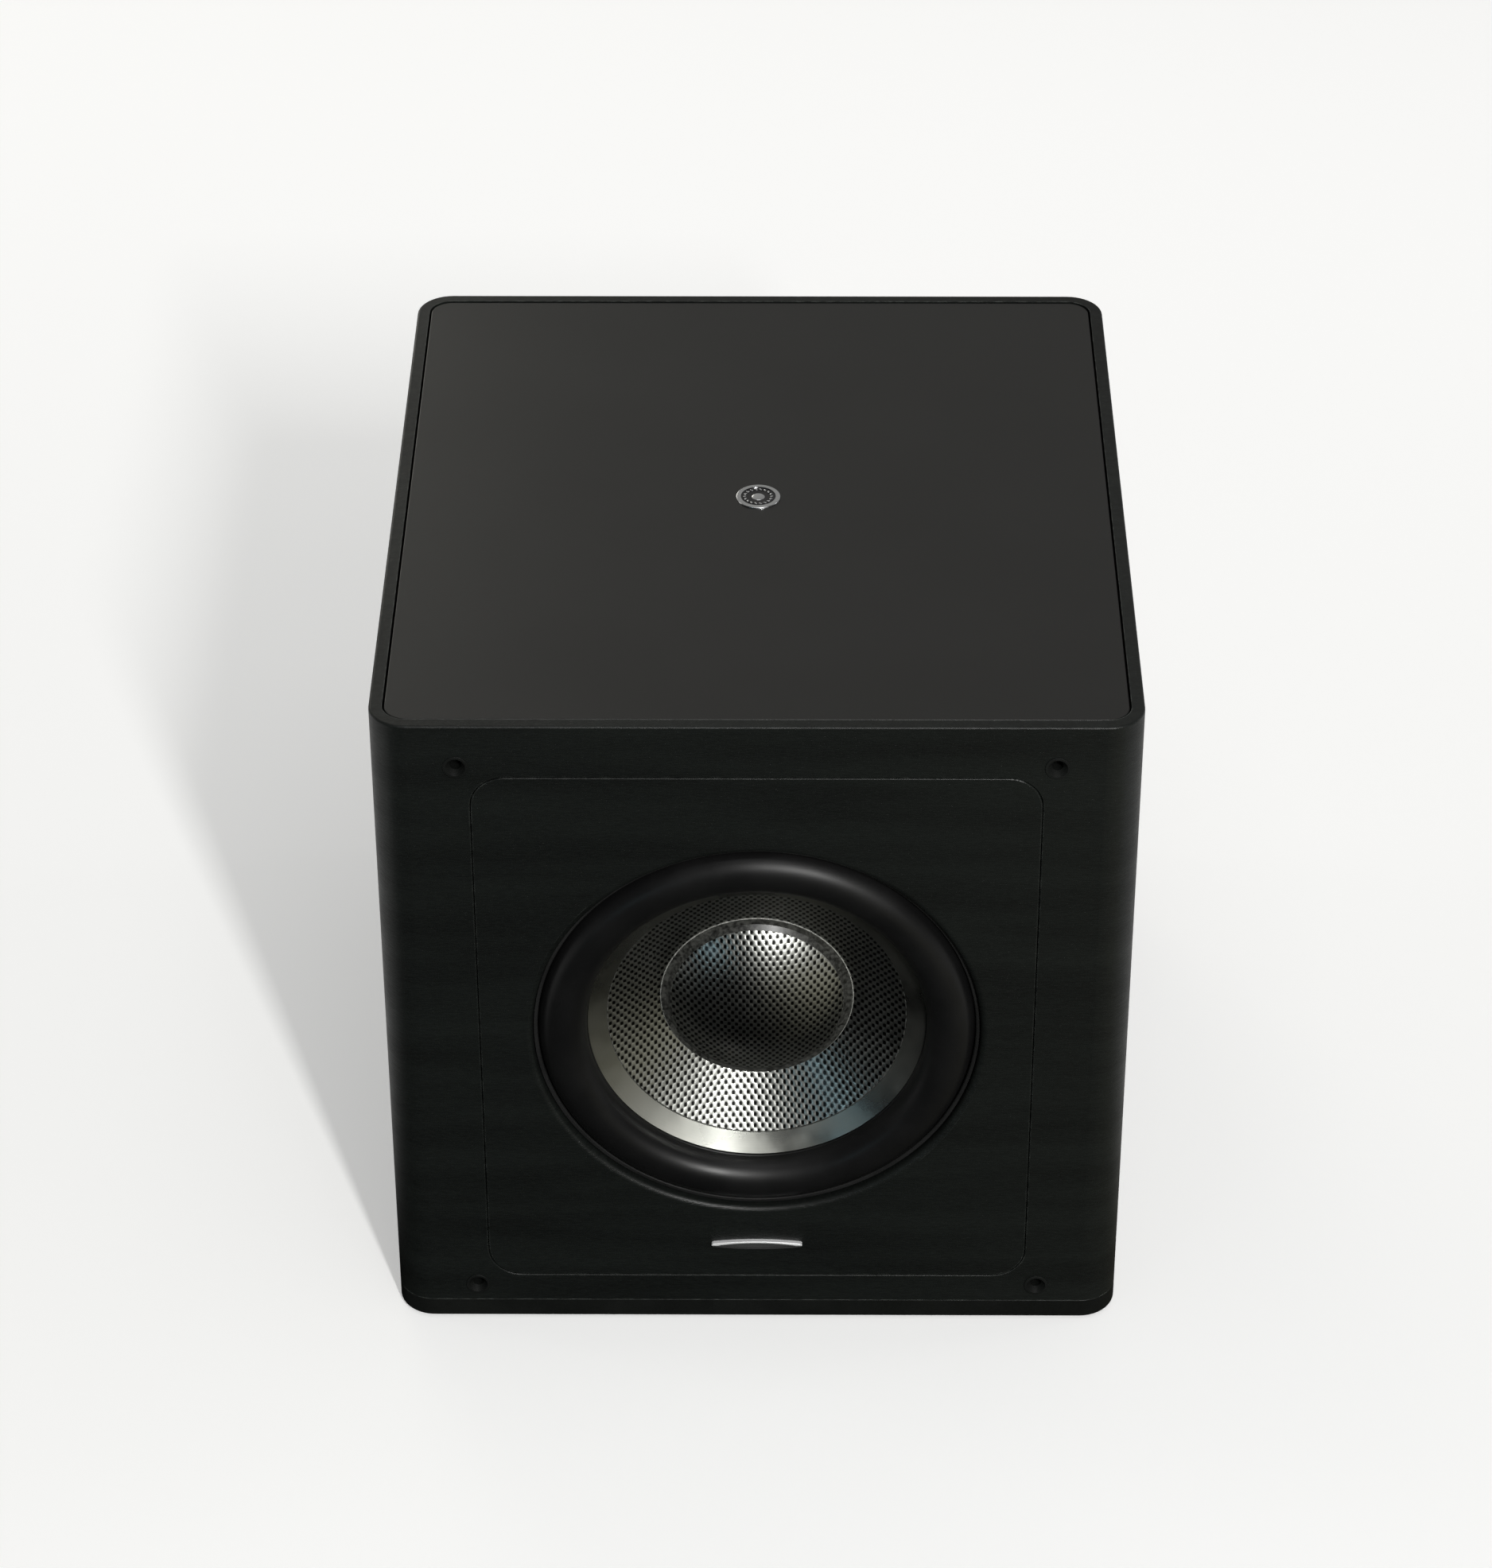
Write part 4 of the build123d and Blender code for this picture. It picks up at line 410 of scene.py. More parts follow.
materials = {
    "grained_black": grained_black(),
    "woven_cone": woven_fibre("woven_cone", ring_high.x - ring_width - 0.47 * MM),
    "satin_aluminium": satin_aluminium(),
    "circuit_board": circuit_board(),
    "raw_board": surface_finish(
        "raw_board", (0.24, 0.15, 0.08), (0.42, 0.29, 0.17), 0.85, fine_scale=420.0, broad_scale=60.0, bump=0.1 * MM
    ),
    "plinth_satin": surface_finish(
        "plinth_satin", (0.006, 0.0065, 0.006), (0.010, 0.0108, 0.010), 0.42, fine_scale=1500.0,
        wear=0.4, wear_colour=(0.06, 0.06, 0.06), Specular_IOR_Level=0.12,
    ),
    "top_panel": surface_finish(
        "top_panel", (0.0120, 0.0118, 0.0112), (0.0150, 0.0148, 0.0142), 0.34, rough_spread=0.008,
        fine_scale=2400.0, broad_scale=9.0, fine_part=0.4, bump=0.006 * MM, Specular_IOR_Level=0.5,
    ),
    "polished_metal": surface_finish(
        "polished_metal", (0.70, 0.71, 0.73), (0.84, 0.85, 0.87), 0.20, rough_spread=0.03, stretch=(1.0, 8.0, 8.0),
        fine_scale=1500.0, broad_scale=150.0, bump=0.004 * MM, Metallic=1.0,
    ),
    "black_enamel": surface_finish(
        "black_enamel", (0.012, 0.012, 0.013), (0.022, 0.022, 0.023), 0.22, rough_spread=0.05, bump=0.006 * MM
    ),
    "black_plastic": surface_finish(
        "black_plastic", (0.010, 0.010, 0.010), (0.020, 0.020, 0.020), 0.46, fine_scale=1900.0, bump=0.02 * MM,
        wear=0.35, wear_colour=(0.08, 0.08, 0.08),
    ),
    "steel_screws": surface_finish(
        "steel_screws", (0.05, 0.05, 0.05), (0.10, 0.10, 0.10), 0.36, wear=0.8, wear_colour=STEEL_WEAR, Metallic=0.9
    ),
    "foot_rubber": surface_finish(
        "foot_rubber", (0.006, 0.006, 0.006), (0.014, 0.014, 0.014), 0.62, fine_scale=1600.0, bump=0.03 * MM,
        Specular_IOR_Level=0.3,
    ),
    "felt": surface_finish(
        "felt", (0.08, 0.08, 0.085), (0.24, 0.24, 0.25), 0.95, fine_scale=700.0, bump=0.4 * MM, Sheen_Weight=0.3
    ),
    "cast_frame": surface_finish(
        "cast_frame", (0.008, 0.008, 0.008), (0.020, 0.020, 0.020), 0.5, fine_scale=800.0, bump=0.06 * MM,
        wear=0.5, wear_colour=GREY_WEAR,
    ),
    "surround_rubber": surface_finish(
        "surround_rubber", (0.0050, 0.0050, 0.0052), (0.0085, 0.0084, 0.0086), 0.37, rough_spread=0.035,
        fine_scale=2200.0, broad_scale=34.0, bump=0.008 * MM, Specular_IOR_Level=0.29, Sheen_Roughness=0.4,
    ),
    "copper_wire": banded_material(
        "copper_wire", "Y", 0.45 * MM, (0.62, 0.25, 0.10), (0.10, 0.03, 0.015), Metallic=0.9
    ),
    "copper_lead": banded_material(
        "copper_lead", "Z", 0.9 * MM, (0.66, 0.34, 0.18), (0.14, 0.06, 0.03), Metallic=0.9
    ),
    "spider_cloth": surface_finish(
        "spider_cloth", (0.34, 0.22, 0.06), (0.56, 0.42, 0.16), 0.8, stretch=(1.0, 1.0, 1.0), fine_scale=1100.0,
        bump=0.12 * MM, Sheen_Weight=0.2,
    ),
    "plated_steel": surface_finish(
        "plated_steel", (0.40, 0.40, 0.41), (0.60, 0.60, 0.60), 0.30, stretch=(1.0, 0.1, 1.0), fine_scale=1400.0,
        Metallic=1.0,
    ),
    "ferrite": surface_finish(
        "ferrite", (0.03, 0.03, 0.032), (0.07, 0.07, 0.072), 0.7, fine_scale=900.0, bump=0.05 * MM
    ),
    "terminal_board": surface_finish(
        "terminal_board", (0.05, 0.03, 0.012), (0.11, 0.07, 0.03), 0.5, fine_scale=600.0, bump=0.03 * MM
    ),
    "wire_sleeve": two_tone(
        "wire_sleeve", "X", 24 * MM, 12 * MM, (0.012, 0.012, 0.012), (0.35, 0.012, 0.010), 0.42
    ),
    "amp_panel": surface_finish(
        "amp_panel", (0.0075, 0.0075, 0.0078), (0.014, 0.014, 0.0145), 0.42, fine_scale=1300.0, broad_scale=24.0,
        bump=0.025 * MM, wear=0.5, wear_colour=(0.10, 0.10, 0.11), Specular_IOR_Level=0.4,
    ),
    "cover_steel": surface_finish(
        "cover_steel", (0.34, 0.35, 0.36), (0.56, 0.57, 0.58), 0.34, fine_scale=160.0, broad_scale=60.0, Metallic=1.0
    ),
    "capacitor_sleeve": surface_finish(
        "capacitor_sleeve", (0.010, 0.012, 0.030), (0.020, 0.024, 0.050), 0.25, Specular_IOR_Level=0.5
    ),
    "plated_brass": surface_finish(
        "plated_brass", (0.72, 0.50, 0.16), (0.90, 0.68, 0.28), 0.20, stretch=(1.0, 6.0, 1.0), fine_scale=1500.0,
        bump=0.006 * MM, Metallic=1.0,
    ),
    "jack_plastic": two_tone(
        "jack_plastic", "X", 44 * MM, 68 * MM, (0.70, 0.70, 0.68), (0.55, 0.02, 0.016), 0.35
    ),
    "status_lens": surface_finish(
        "status_lens", (0.05, 0.50, 0.16), (0.10, 0.72, 0.26), 0.2, Emission_Color=colour(0.10, 0.9, 0.3),
        Emission_Strength=0.5,
    ),
    "knob_plastic": surface_finish(
        "knob_plastic", (0.012, 0.012, 0.0125), (0.024, 0.024, 0.025), 0.40, fine_scale=2000.0, bump=0.015 * MM,
        wear=0.5, wear_colour=(0.10, 0.10, 0.10),
    ),
    "fuse_glass": surface_finish(
        "fuse_glass", (0.80, 0.84, 0.86), (0.90, 0.93, 0.95), 0.08, rough_spread=0.03, bump=0.002 * MM,
        Transmission_Weight=0.7,
    ),
}
bead_resin = surface_finish(
    "bead_resin", (0.07, 0.07, 0.065), (0.48, 0.48, 0.45), 0.28, fine_scale=1500.0, broad_scale=400.0,
    bump=0.06 * MM, Specular_IOR_Level=0.6,
)
socket_rubber = surface_finish(
    "socket_rubber", (0.0050, 0.0056, 0.0052), (0.0100, 0.0110, 0.0102), 0.55, fine_scale=1600.0, bump=0.02 * MM,
    Specular_IOR_Level=0.15,
)
badge_lacquer = surface_finish(
    "badge_lacquer", (0.038, 0.038, 0.038), (0.052, 0.052, 0.052), 0.40, fine_scale=1500.0, bump=0.006 * MM
)
print_white = surface_finish(
    "print_white", (0.52, 0.52, 0.50), (0.68, 0.68, 0.66), 0.6, fine_scale=2600.0, bump=0.004 * MM
)

for part in frame["record"]["subparts"]:
    part_mesh = frame["nodes"][part["node"]].data
    part_mesh.materials.clear()
    part_mesh.materials.append(materials[part["material_slot"]])
for node, material in (
    ("dust_cap", woven_fibre("woven_cap", cap_edge)),
    ("grille_sockets", socket_rubber),
    ("badge_bar", badge_metal()),
    ("badge_face", badge_lacquer),
):
    frame["nodes"][node].data.materials[0] = material


# ---- new pieces ----
def finish_piece(name, mesh_builder, material):
    """Turns a bmesh into an object with its place in its mesh, and gives it its material."""
    mesh = bpy.data.meshes.new(name)
    mesh_builder.to_mesh(mesh)
    mesh_builder.free()
    piece = bpy.data.objects.new(name, mesh)
    bpy.context.scene.collection.objects.link(piece)
    mesh.materials.append(material)
    return piece


def shade_smooth(piece, angle=35.0):
    """Smooth shading, with edges sharper than an angle kept crisp."""
    for face in piece.data.polygons:
        face.use_smooth = True
    piece.data.set_sharp_from_angle(angle=math.radians(angle))


def turned_section(points, steps=192, closed=True):
    """Spins a section of (radius, y) points round the driver's axis into a closed ring."""
    shape = bmesh.new()
    line = [shape.verts.new((radius, y, driver_z)) for radius, y in points]
    for first, second in zip(line, line[1:]):
        shape.edges.new((first, second))
    if closed:
        shape.edges.new((line[-1], line[0]))
    bmesh.ops.spin(
        shape, geom=shape.verts[:] + shape.edges[:], cent=(0, 0, driver_z), axis=(0, 1, 0),
        angle=math.tau, steps=steps, use_merge=True, use_duplicate=False,
    )
    bmesh.ops.remove_doubles(shape, verts=shape.verts, dist=weld_distance)
    bmesh.ops.recalc_face_normals(shape, faces=shape.faces)
    return shape


def arc(radius_middle, y_middle, size, start, end, count):
    """Points of an arc in a section; 90 degrees points to the front."""
    angles = [math.radians(start + (end - start) * step / count) for step in range(count + 1)]
    return [(radius_middle + size * math.cos(a), y_middle - size * math.sin(a)) for a in angles]


def flex(piece, still, moving):
    """Bends a piece from the still radius on the cabinet to the moving radius on the cone."""
    step = Vector((0, 0, MM))
    middle = Vector((0, 0, driver_z))
    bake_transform(piece, "cabinet", "cone", start=middle, end=middle + step)
    weights = piece.data.attributes["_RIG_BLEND"]
    for vertex, weight in zip(piece.data.vertices, weights.data):
        radius = math.hypot(vertex.co.x, vertex.co.z - driver_z)
        share = min(max((radius - still) / (moving - still), 0.0), 1.0)
        weight.value = share * share * (3 - 2 * share)


land_radius = trim_high.x
ring_outer = ring_high.x
outer_land = 2.25 * MM
inner_gap = 0.49 * MM
inner_land = 7 * MM
glue = 0.02 * MM
roll_outer = land_radius - outer_land
roll_inner = ring_outer + inner_gap
roll_size = (roll_outer - roll_inner) / 2
roll_middle = (roll_outer + roll_inner) / 2
roll_y = rolled_low.y + roll_size
wall = 1.6 * MM
land_back = trim_high.y + wall
foot_y = rolled_high.y


def rolled_surround():
    """The half roll, its outer land behind the trim ring and its inner land on the cone's back."""
    outer_foot = [
        (land_radius, trim_high.y + glue),
        (land_radius, land_back),
        (roll_outer - wall, land_back),
    ]
    inside = arc(roll_middle, roll_y, roll_size - wall, 0, 180, 28)
    inner_foot = [
        (roll_inner + wall, foot_y - 3.6 * MM),
        (roll_inner - inner_land, foot_y),
        (roll_inner - inner_land, foot_y - wall),
        (roll_inner - 0.2 * MM, foot_y - wall - 4.0 * MM),
    ]
    lip_radius = roll_inner - 0.30 * MM
    lip = [
        (lip_radius, roll_y + 0.9 * MM),
        (lip_radius, roll_y + 0.3 * MM),
        (roll_inner, roll_y),
    ]
    outside = arc(roll_middle, roll_y, roll_size, 180, 0, 44)
    step_radius = roll_outer + 0.25 * MM
    outer_step = [(step_radius, roll_y + 0.1 * MM), (step_radius, trim_high.y + glue)]
    shape = turned_section(outer_foot + inside + inner_foot + lip + outside[1:] + outer_step)
    piece = finish_piece("rolled_surround", shape, materials["surround_rubber"])
    shade_smooth(piece, 40.0)
    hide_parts("surround")
    flex(piece, roll_outer, roll_inner)
    return piece


def corrugated_spider():
    """The resin-treated cloth disc behind the cone, with five round folds."""
    inner = former_high.x + 0.12 * MM
    outer = spider_high.x
    middle_y = (spider_low.y + spider_high.y) / 2
    half_wall = 0.3 * MM
    fold_height = (spider_high.y - spider_low.y) / 2 - half_wall - 0.05 * MM
    fold_start = inner + 4 * MM
    fold_end = outer - 9 * MM
    folds, fold_steps = 5, 12
    line = [(inner, middle_y), (inner + 3 * MM, middle_y)]
    for step in range(folds * fold_steps + 1):
        share = step / (folds * fold_steps)
        height = math.sin(share * folds * math.tau) * fold_height
        line.append((fold_start + share * (fold_end - fold_start), middle_y + height))
    line += [(outer - 7 * MM, middle_y), (outer, middle_y)]
    front = [(radius, y - half_wall) for radius, y in line]
    back = [(radius, y + half_wall) for radius, y in reversed(line)]
    shape = turned_section(front + back, steps=128)
    piece = finish_piece("corrugated_spider", shape, materials["spider_cloth"])
    shade_smooth(piece, 60.0)
    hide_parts("spider")
    flex(piece, fold_end, fold_start)
    return piece


def swept_lead(name, points, thickness):
    """A soft round lead along a smooth path."""
    curve = bpy.data.curves.new(name, "CURVE")
    curve.dimensions = "3D"
    curve.bevel_depth = thickness
    curve.bevel_resolution = 3
    curve.use_fill_caps = True
    spline = curve.splines.new("BEZIER")
    spline.bezier_points.add(len(points) - 1)
    for handle, place in zip(spline.bezier_points, points):
        handle.co = place
        handle.handle_left_type = "AUTO"
        handle.handle_right_type = "AUTO"
    made = bpy.data.objects.new(name, curve)
    bpy.context.scene.collection.objects.link(made)
    bpy.context.view_layer.update()
    mesh = bpy.data.meshes.new_from_object(made.evaluated_get(bpy.context.evaluated_depsgraph_get()))
    bpy.data.objects.remove(made)
    shape = bmesh.new()
    shape.from_mesh(mesh)
    bpy.data.meshes.remove(mesh)
    bmesh.ops.remove_doubles(shape, verts=shape.verts, dist=0.01 * MM)
    bmesh.ops.recalc_face_normals(shape, faces=shape.faces)
    return shape


def braided_leads():
    """The two flexible leads from the terminals to the cone's neck."""
    lead_size = 0.75 * MM
    top, low = leads_high.z, leads_low.z
    back, front = leads_high.y, leads_low.y
    middle_y, middle_z = (front + back) / 2, (top + low) / 2
    for side, label in zip(LEFT_AND_RIGHT, ("left", "right")):
        x = side * (leads_high.x - 0.8 * MM)
        path = [
            (x, back - 2.0 * MM, top - 0.1 * MM),
            (x, back - 2.2 * MM, top - 7 * MM),
            (x, middle_y + 1.0 * MM, middle_z + 2 * MM),
            (x, middle_y + 3.0 * MM, low + 9 * MM),
            (x, front + 1.4 * MM, low + 1.2 * MM),
        ]
        name = "braided_lead_" + label
        shape = swept_lead(name, path, lead_size)
        piece = finish_piece(name, shape, materials["copper_lead"])
        shade_smooth(piece)
        if side < 0:
            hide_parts("tinsel_leads")
        flex(piece, top - driver_z, low - driver_z)


def cap_bead():
    """The fine bead of adhesive where the dust cap's foot meets the cone."""
    bead = cap_high.x + 0.15 * MM
    bead_size = 0.42 * MM
    bead_y = ring_low.y + (ring_high.x - bead) * cone_slope + bead_size + 0.03 * MM
    section = arc(bead, bead_y, bead_size, 0, 330, 11)
    shape = turned_section(section, steps=256)
    for vertex in shape.verts:
        turn = math.atan2(vertex.co.z - driver_z, vertex.co.x)
        ripple = math.sin(turn * 47) * 0.04 + math.sin(turn * 113 + 1.3) * 0.03
        vertex.co.y -= ripple * MM
    piece = finish_piece("cap_bead", shape, bead_resin)
    shade_smooth(piece, 60.0)
    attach(piece, "cone")


def box_shape(shape, centre, size, turn=0.0):
    """Adds a small block whose place, size and turn about Y are given."""
    matrix = (
        Matrix.Translation(Vector(centre)) @ Matrix.Rotation(turn, 4, "Y") @ Matrix.Diagonal((*size, 1.0))
    )
    bmesh.ops.create_cube(shape, size=1.0, matrix=matrix)


def bevelled(shape, width):
    bmesh.ops.bevel(
        shape, geom=shape.edges[:], offset=width, offset_type="OFFSET", segments=2, profile=0.5,
        affect="EDGES", material=-1, clamp_overlap=True,
    )


def medallion_ornament():
    """A wreath of small leaves and a low centre boss on the medallion's dark disc."""
    disc_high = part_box("medallion_disc")[1]
    wreath_radius = 7.4 * MM
    leaves = 18
    leaf_tilt = 0.7
    leaf_size = (1.05 * MM, 0.5 * MM, 0.17 * MM, 1.0)
    boss_size = (3.6 * MM, 3.6 * MM, 0.45 * MM, 1.0)
    shape = bmesh.new()
    for leaf in range(leaves):
        turn = leaf * math.tau / leaves
        place = Vector((math.cos(turn), math.sin(turn), 0)) * wreath_radius
        place.z = disc_high.z
        matrix = (
            Matrix.Translation(place) @ Matrix.Rotation(turn + leaf_tilt, 4, "Z")
            @ Matrix.Diagonal(leaf_size)
        )
        bmesh.ops.create_uvsphere(shape, u_segments=12, v_segments=8, radius=1.0, matrix=matrix)
    boss = Matrix.Translation((0, 0, disc_high.z - 0.32 * MM)) @ Matrix.Diagonal(boss_size)
    bmesh.ops.create_uvsphere(shape, u_segments=32, v_segments=12, radius=1.0, matrix=boss)
    piece = finish_piece("medallion_ornament", shape, materials["polished_metal"])
    shade_smooth(piece, 60.0)
    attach(piece, "cabinet")


def badge_studs():
    """Four small bright studs along the badge's curved lower edge."""
    low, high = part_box("badge_bar")
    middle, half_height = (low + high) / 2, (high.z - low.z) / 2
    badge_end_x, badge_end_half = 24 * MM, 0.6 * MM
    shape = bmesh.new()
    for offset, size in ((-20.3, 0.50), (-14.0, 0.65), (14.0, 0.65), (20.3, 0.50)):
        curve = 1 - (offset * MM / badge_end_x) ** 2
        edge_z = middle.z - badge_end_half - (half_height - badge_end_half) * curve
        place = Matrix.Translation((middle.x + offset * MM, low.y + size * MM, edge_z - 0.15 * MM))
        bmesh.ops.create_uvsphere(shape, u_segments=16, v_segments=10, radius=size * MM, matrix=place)
    piece = finish_piece("badge_studs", shape, materials["polished_metal"])
    shade_smooth(piece, 60.0)
    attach(piece, "cabinet")


def knob_pointer(name, low, high, body):
    """A white inlay in the knob's pointer groove."""
    shape = bmesh.new()
    centre_x = (low.x + high.x) / 2
    centre_z = (low.z + high.z) / 2
    radius = (high.x - low.x) / 2
    place = (centre_x, high.y - 0.32 * MM, centre_z + radius * 0.6)
    box_shape(shape, place, (1.05 * MM, 0.3 * MM, radius * 0.58))
    bevelled(shape, 0.08 * MM)
    piece = finish_piece(name, shape, print_white)
    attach(piece, body)


def flat_text(shape, words, centre):
    """Adds raised numerals that face the back."""
    text = bpy.data.curves.new("numerals", "FONT")
    text.body = words
    text.size = 3.4 * MM
    text.align_x = "CENTER"
    text.align_y = "CENTER"
    text.extrude = 0.02 * MM
    made = bpy.data.objects.new("numerals", text)
    bpy.context.scene.collection.objects.link(made)
    bpy.context.view_layer.update()
    mesh = bpy.data.meshes.new_from_object(made.evaluated_get(bpy.context.evaluated_depsgraph_get()))
    bpy.data.objects.remove(made)
    facing_back = Matrix(((-1, 0, 0, 0), (0, 0, 1, 0), (0, 1, 0, 0), (0, 0, 0, 1)))
    mesh.transform(Matrix.Translation(Vector(centre)) @ facing_back)
    shape.from_mesh(mesh)
    bpy.data.meshes.remove(mesh)


def dial_marks(shape, low, high, words, count=11):
    """Ticks round a knob over 300 degrees, with a number at each end and at the top."""
    centre_x, centre_z = (low.x + high.x) / 2, (low.z + high.z) / 2
    radius = (high.x - low.x) / 2
    dial_sweep = 150
    for tick in range(count):
        turn = math.radians(dial_sweep * (2 * tick / (count - 1) - 1))
        reach = radius + 2.2 * MM
        place = (centre_x - math.sin(turn) * reach, print_y, centre_z + math.cos(turn) * reach)
        long_tick = tick in (0, count // 2, count - 1)
        box_shape(shape, place, (0.35 * MM, 0.04 * MM, (2.0 if long_tick else 1.2) * MM), -turn)
    for share, numeral in zip((-1, 0, 1), words):
        turn = math.radians(dial_sweep * share)
        reach = radius + 6.0 * MM
        place = (centre_x - math.sin(turn) * reach, print_y, centre_z + math.cos(turn) * reach)
        flat_text(shape, numeral, place)


def panel_print():
    """The white marks printed on the amplifier's plate."""
    shape = bmesh.new()
    dial_marks(shape, level_low, level_high, ("0", "5", "10"))
    dial_marks(shape, lowpass_low, lowpass_high, ("50", "85", "150"))
    lever_low, lever_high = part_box("phase_lever")
    lever_x = (lever_low.x + lever_high.x) / 2
    lever_z = (lever_low.z + lever_high.z) / 2
    flat_text(shape, "0", (lever_x, print_y, lever_z + 7 * MM))
    flat_text(shape, "180", (lever_x + 7 * MM, print_y, lever_z + 7 * MM))
    rule_low, rule_high = plate_low.x + 14 * MM, plate_high.x - 14 * MM
    for z in (level_low.z - 15 * MM, jack_low.z - 8 * MM):
        box_shape(shape, ((rule_low + rule_high) / 2, print_y, z), (rule_high - rule_low, 0.04 * MM, 0.35 * MM))
    piece = finish_piece("panel_print", shape, print_white)
    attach(piece, "cabinet")


def rocker_marks():
    """The generic on and off marks on the power rocker."""
    shape = bmesh.new()
    centre_x = (rocker_low.x + rocker_high.x) / 2
    centre_z = (rocker_low.z + rocker_high.z) / 2
    tilt = math.radians(10)
    reach = 5.2 * MM
    box_shape(shape, (centre_x, 0, reach), (0.7 * MM, 0.12 * MM, 3.0 * MM))
    half_depth = 0.06 * MM
    corners = ((1.12 * MM, -half_depth), (1.7 * MM, -half_depth), (1.7 * MM, half_depth), (1.12 * MM, half_depth))
    line = [shape.verts.new((centre_x + radius, depth, -reach)) for radius, depth in corners]
    edges = [shape.edges.new(pair) for pair in zip(line, line[1:] + line[:1])]
    bmesh.ops.spin(
        shape, geom=line + edges, cent=(centre_x, 0, -reach), axis=(0, 1, 0),
        angle=math.tau, steps=32, use_merge=True, use_duplicate=False,
    )
    bmesh.ops.remove_doubles(shape, verts=shape.verts, dist=weld_distance)
    bmesh.ops.recalc_face_normals(shape, faces=shape.faces)
    pivot = Vector((0, panel_y + 0.6 * MM, centre_z))
    face = 3.2 * MM
    turn = Matrix.Translation(pivot) @ Matrix.Rotation(tilt, 4, "X") @ Matrix.Translation((0, face, 0))
    bmesh.ops.transform(shape, matrix=turn, verts=shape.verts)
    piece = finish_piece("rocker_marks", shape, print_white)
    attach(piece, "rocker")


rolled_surround()
corrugated_spider()
braided_leads()
cap_bead()
medallion_ornament()
badge_studs()
knob_pointer("level_pointer", level_low, level_high, "level")
knob_pointer("lowpass_pointer", lowpass_low, lowpass_high, "lowpass")
panel_print()
rocker_marks()


# ---- studio ----
def studio_floor():
    """A plain pale floor. It mirrors darkly in front and on the left, so the black cabinet stays black."""
    shape = bmesh.new()
    bmesh.ops.create_grid(shape, x_segments=4, y_segments=4, size=9.0)
    mesh = bpy.data.meshes.new("studio_floor")
    shape.to_mesh(mesh)
    shape.free()
    floor = bpy.data.objects.new("studio_floor", mesh)
    bpy.context.scene.collection.objects.link(floor)
    material = bpy.data.materials.new("studio_floor")
    material.use_nodes = True
    tree = material.node_tree
    tree.nodes.clear()
    light_path = add_node(tree, "ShaderNodeLightPath")
    split = add_node(tree, "ShaderNodeSeparateXYZ", {0: object_places(tree)})
    glow_power = remap(tree, split.outputs["Y"], -0.3, 1.4, 0.36, 0.52)
    distance = add_node(
        tree, "ShaderNodeVectorMath", {0: object_places(tree)}, operation="LENGTH"
    ).outputs["Value"]
    glow_power = calculate(tree, "ADD", glow_power, remap(tree, distance, 1.8, 5.0, 0.0, 0.40))
    shown = add_node(tree, "ShaderNodeBsdfDiffuse", {"Color": colour(0.80, 0.80, 0.795)}).outputs[0]
    glow = add_node(
        tree, "ShaderNodeEmission", {"Color": colour(1.0, 1.0, 0.998), "Strength": glow_power}
    ).outputs[0]
    lit = add_node(tree, "ShaderNodeAddShader", {0: shown, 1: glow}).outputs[0]
    rightness = remap(tree, split.outputs["X"], 0.0, 0.62, 0.0, 1.0)
    beside = calculate(tree, "SUBTRACT", calculate(tree, "ABSOLUTE", split.outputs["X"]), shell_high.x)
    reach = calculate(tree, "ADD", split.outputs["Y"], calculate(tree, "MAXIMUM", beside, 0.0))
    behind = remap(tree, reach, -0.16, 0.14, 0.0, 1.0)
    mirrored_tone = mix_colours(tree, rightness, colour(0.0035, 0.0035, 0.0035), colour(0.26, 0.25, 0.19))
    mirrored_tone = mix_colours(tree, behind, mirrored_tone, colour(0.50, 0.50, 0.49))
    mirrored = add_node(tree, "ShaderNodeEmission", {"Color": mirrored_tone, "Strength": 1.0}).outputs[0]
    scattered = add_node(
        tree, "ShaderNodeEmission", {"Color": colour(0.40, 0.43, 0.40), "Strength": 1.0}
    ).outputs[0]
    unseen = add_node(
        tree, "ShaderNodeMixShader", {0: light_path.outputs["Is Diffuse Ray"], 1: mirrored, 2: scattered}
    ).outputs[0]
    both = add_node(
        tree, "ShaderNodeMixShader", {0: light_path.outputs["Is Camera Ray"], 1: unseen, 2: lit}
    ).outputs[0]
    output = tree.nodes.new("ShaderNodeOutputMaterial")
    tree.links.new(both, output.inputs["Surface"])
    mesh.materials.append(material)


white = (1.0, 1.0, 1.0)
cabinet_middle = (0.0, 0.0, 0.2)


def softbox(name, place, width, height, power, tint=white, target=cabinet_middle):
    """A rectangular lamp that faces a point and isn't seen itself."""
    lamp = bpy.data.lights.new(name, "AREA")
    lamp.shape = "RECTANGLE"
    lamp.size = width
    lamp.size_y = height
    lamp.energy = power
    lamp.color = tint
    made = bpy.data.objects.new(name, lamp)
    bpy.context.scene.collection.objects.link(made)
    made.location = place
    made.rotation_euler = (Vector(target) - Vector(place)).to_track_quat("-Z", "Y").to_euler()
    made.visible_camera = False


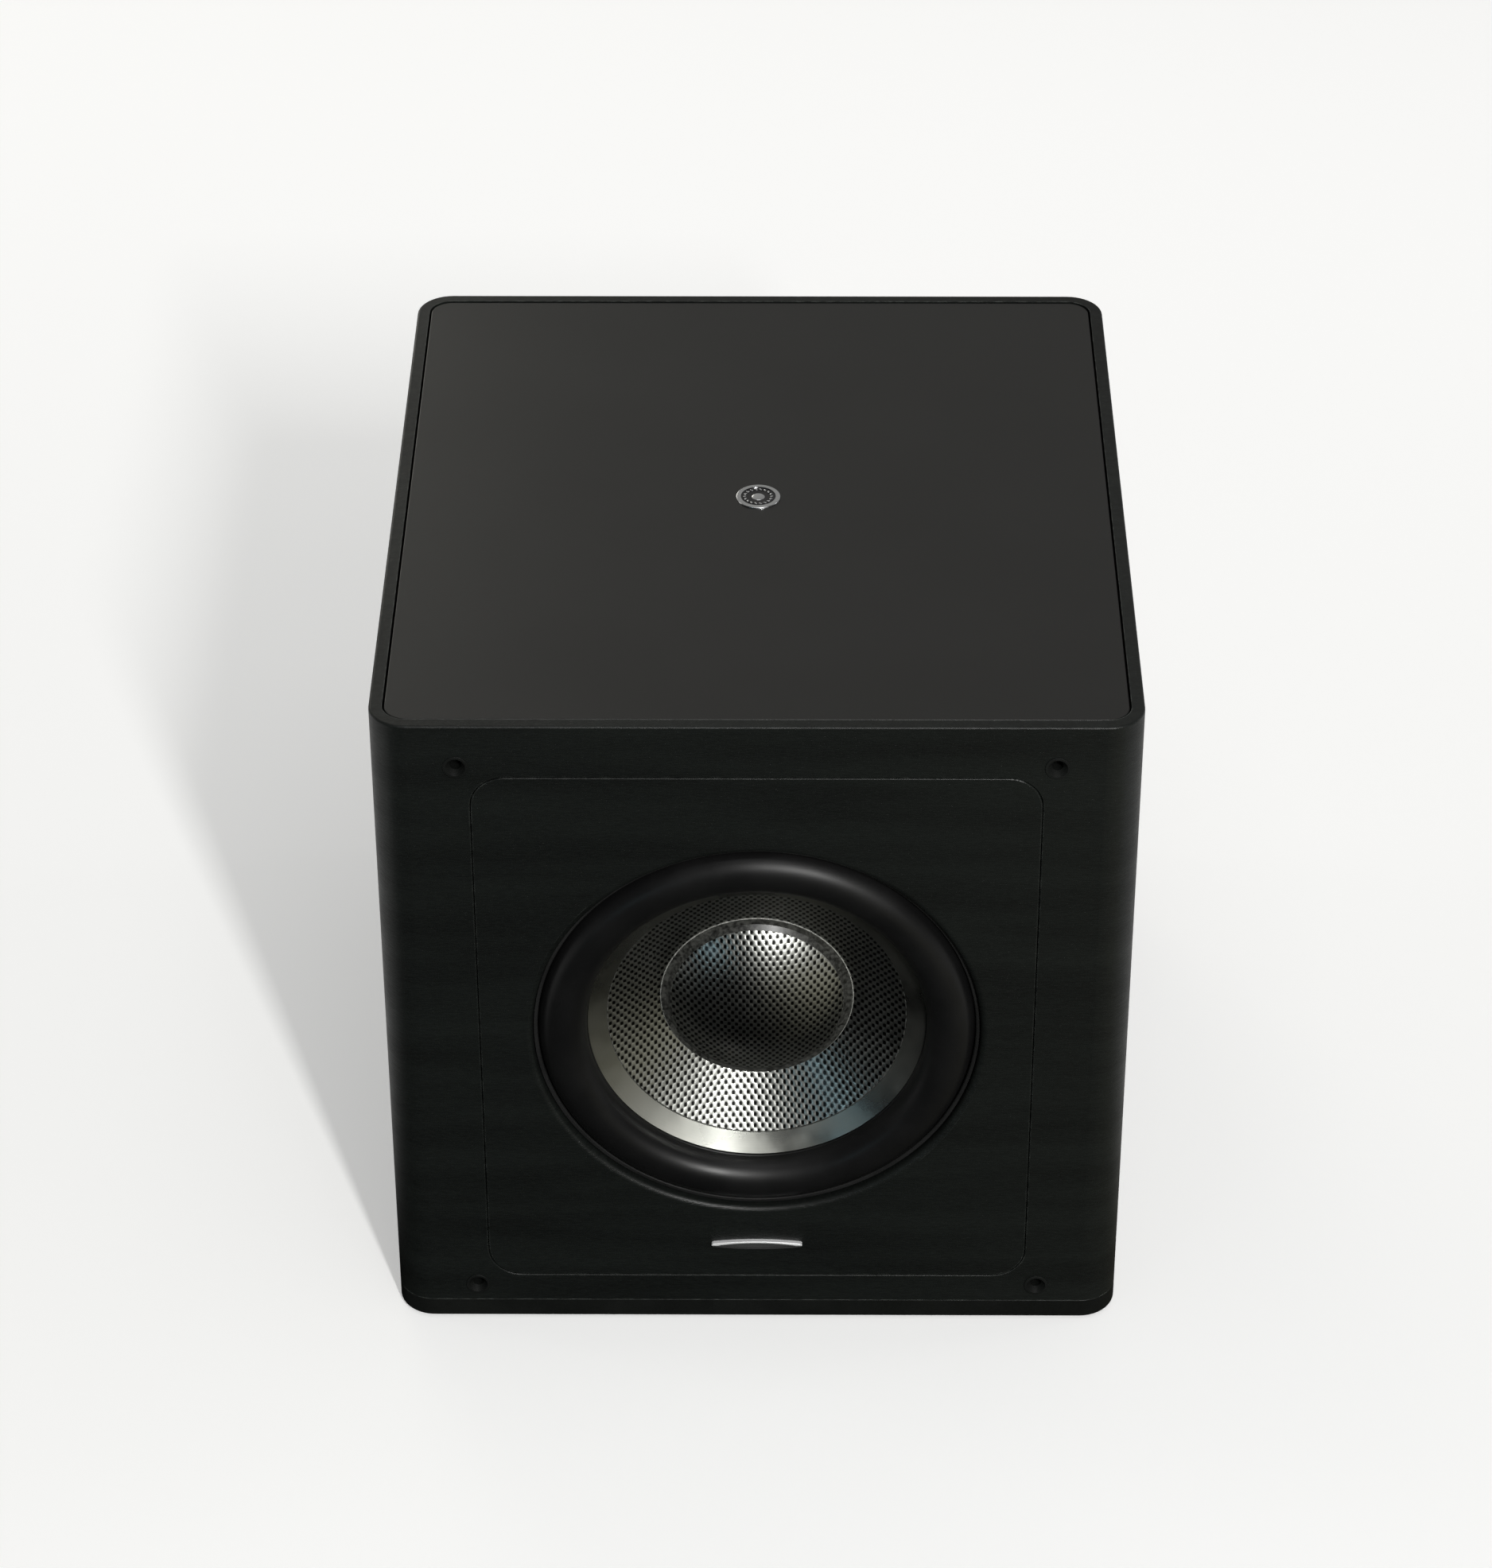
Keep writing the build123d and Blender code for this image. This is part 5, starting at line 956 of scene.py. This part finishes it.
def studio_world():
    """Soft surroundings: brighter to the right and overhead, warm behind on the left."""
    world = bpy.data.worlds.new("studio")
    bpy.context.scene.world = world
    world.use_nodes = True
    tree = world.node_tree
    tree.nodes.clear()
    split = add_node(tree, "ShaderNodeSeparateXYZ", {0: add_node(tree, "ShaderNodeTexCoord").outputs["Generated"]})
    rightness = remap(tree, split.outputs["X"], -0.9, 0.9, 0.0, 1.0)
    behind = remap(tree, split.outputs["Y"], -0.25, 0.7, 0.0, 1.0)
    front_tone = mix_colours(tree, rightness, colour(0.015, 0.017, 0.018), colour(0.085, 0.085, 0.080))
    back_tone = mix_colours(tree, rightness, colour(0.30, 0.295, 0.27), colour(0.24, 0.24, 0.24))
    tone = mix_colours(tree, behind, front_tone, back_tone)
    seen = add_node(tree, "ShaderNodeLightPath").outputs["Is Camera Ray"]
    shown = mix_colours(tree, seen, tone, colour(0.955, 0.955, 0.955))
    background = add_node(tree, "ShaderNodeBackground", {"Color": shown, "Strength": 1.0}).outputs[0]
    output = tree.nodes.new("ShaderNodeOutputWorld")
    tree.links.new(background, output.inputs["Surface"])


studio_floor()
studio_world()
driver_face = (0.0, front_y, driver_z)
softbox("key", (1.64, -5.37, 3.95), 0.28, 1.5, 275.0, (1.0, 0.995, 0.98), driver_face)
softbox("front_softbox", (1.15, -2.35, 1.0), 1.8, 1.1, 4.0, (1.0, 0.99, 0.96), driver_face)
softbox("high_softbox", (0.35, -2.1, 2.5), 1.2, 0.7, 6.5, white, driver_face)
softbox("overhead_softbox", (0.1, -0.5, 2.7), 1.6, 1.2, 8.0)
softbox("cool_softbox", (-1.7, -2.7, 0.8), 0.5, 0.4, 1.2, (0.55, 0.85, 1.0), driver_face)
softbox("back_softbox", (-1.2, 2.9, 1.4), 1.2, 0.9, 9.0, (1.0, 0.97, 0.88), (0.0, 0.0, 0.3))
softbox("left_strip", (-2.6, 0.5, 0.8), 0.5, 1.4, 4.0, (1.0, 0.99, 0.96))
softbox("right_strip", (2.6, 0.5, 0.8), 0.5, 1.4, 4.0)

camera_data = bpy.data.cameras.new("camera")
camera_data.lens = 110.03
camera_data.sensor_width = 36.0
camera_data.sensor_fit = "AUTO"
camera_data.clip_end = 60.0
camera = bpy.data.objects.new("camera", camera_data)
bpy.context.scene.collection.objects.link(camera)
camera.location = (0.010433, -2.247743, 1.783371)
camera.rotation_euler = [math.radians(angle) for angle in (54.9559, 0.1184, 0.365)]
bpy.context.scene.camera = camera
bpy.context.scene.view_settings.view_transform = "Standard"
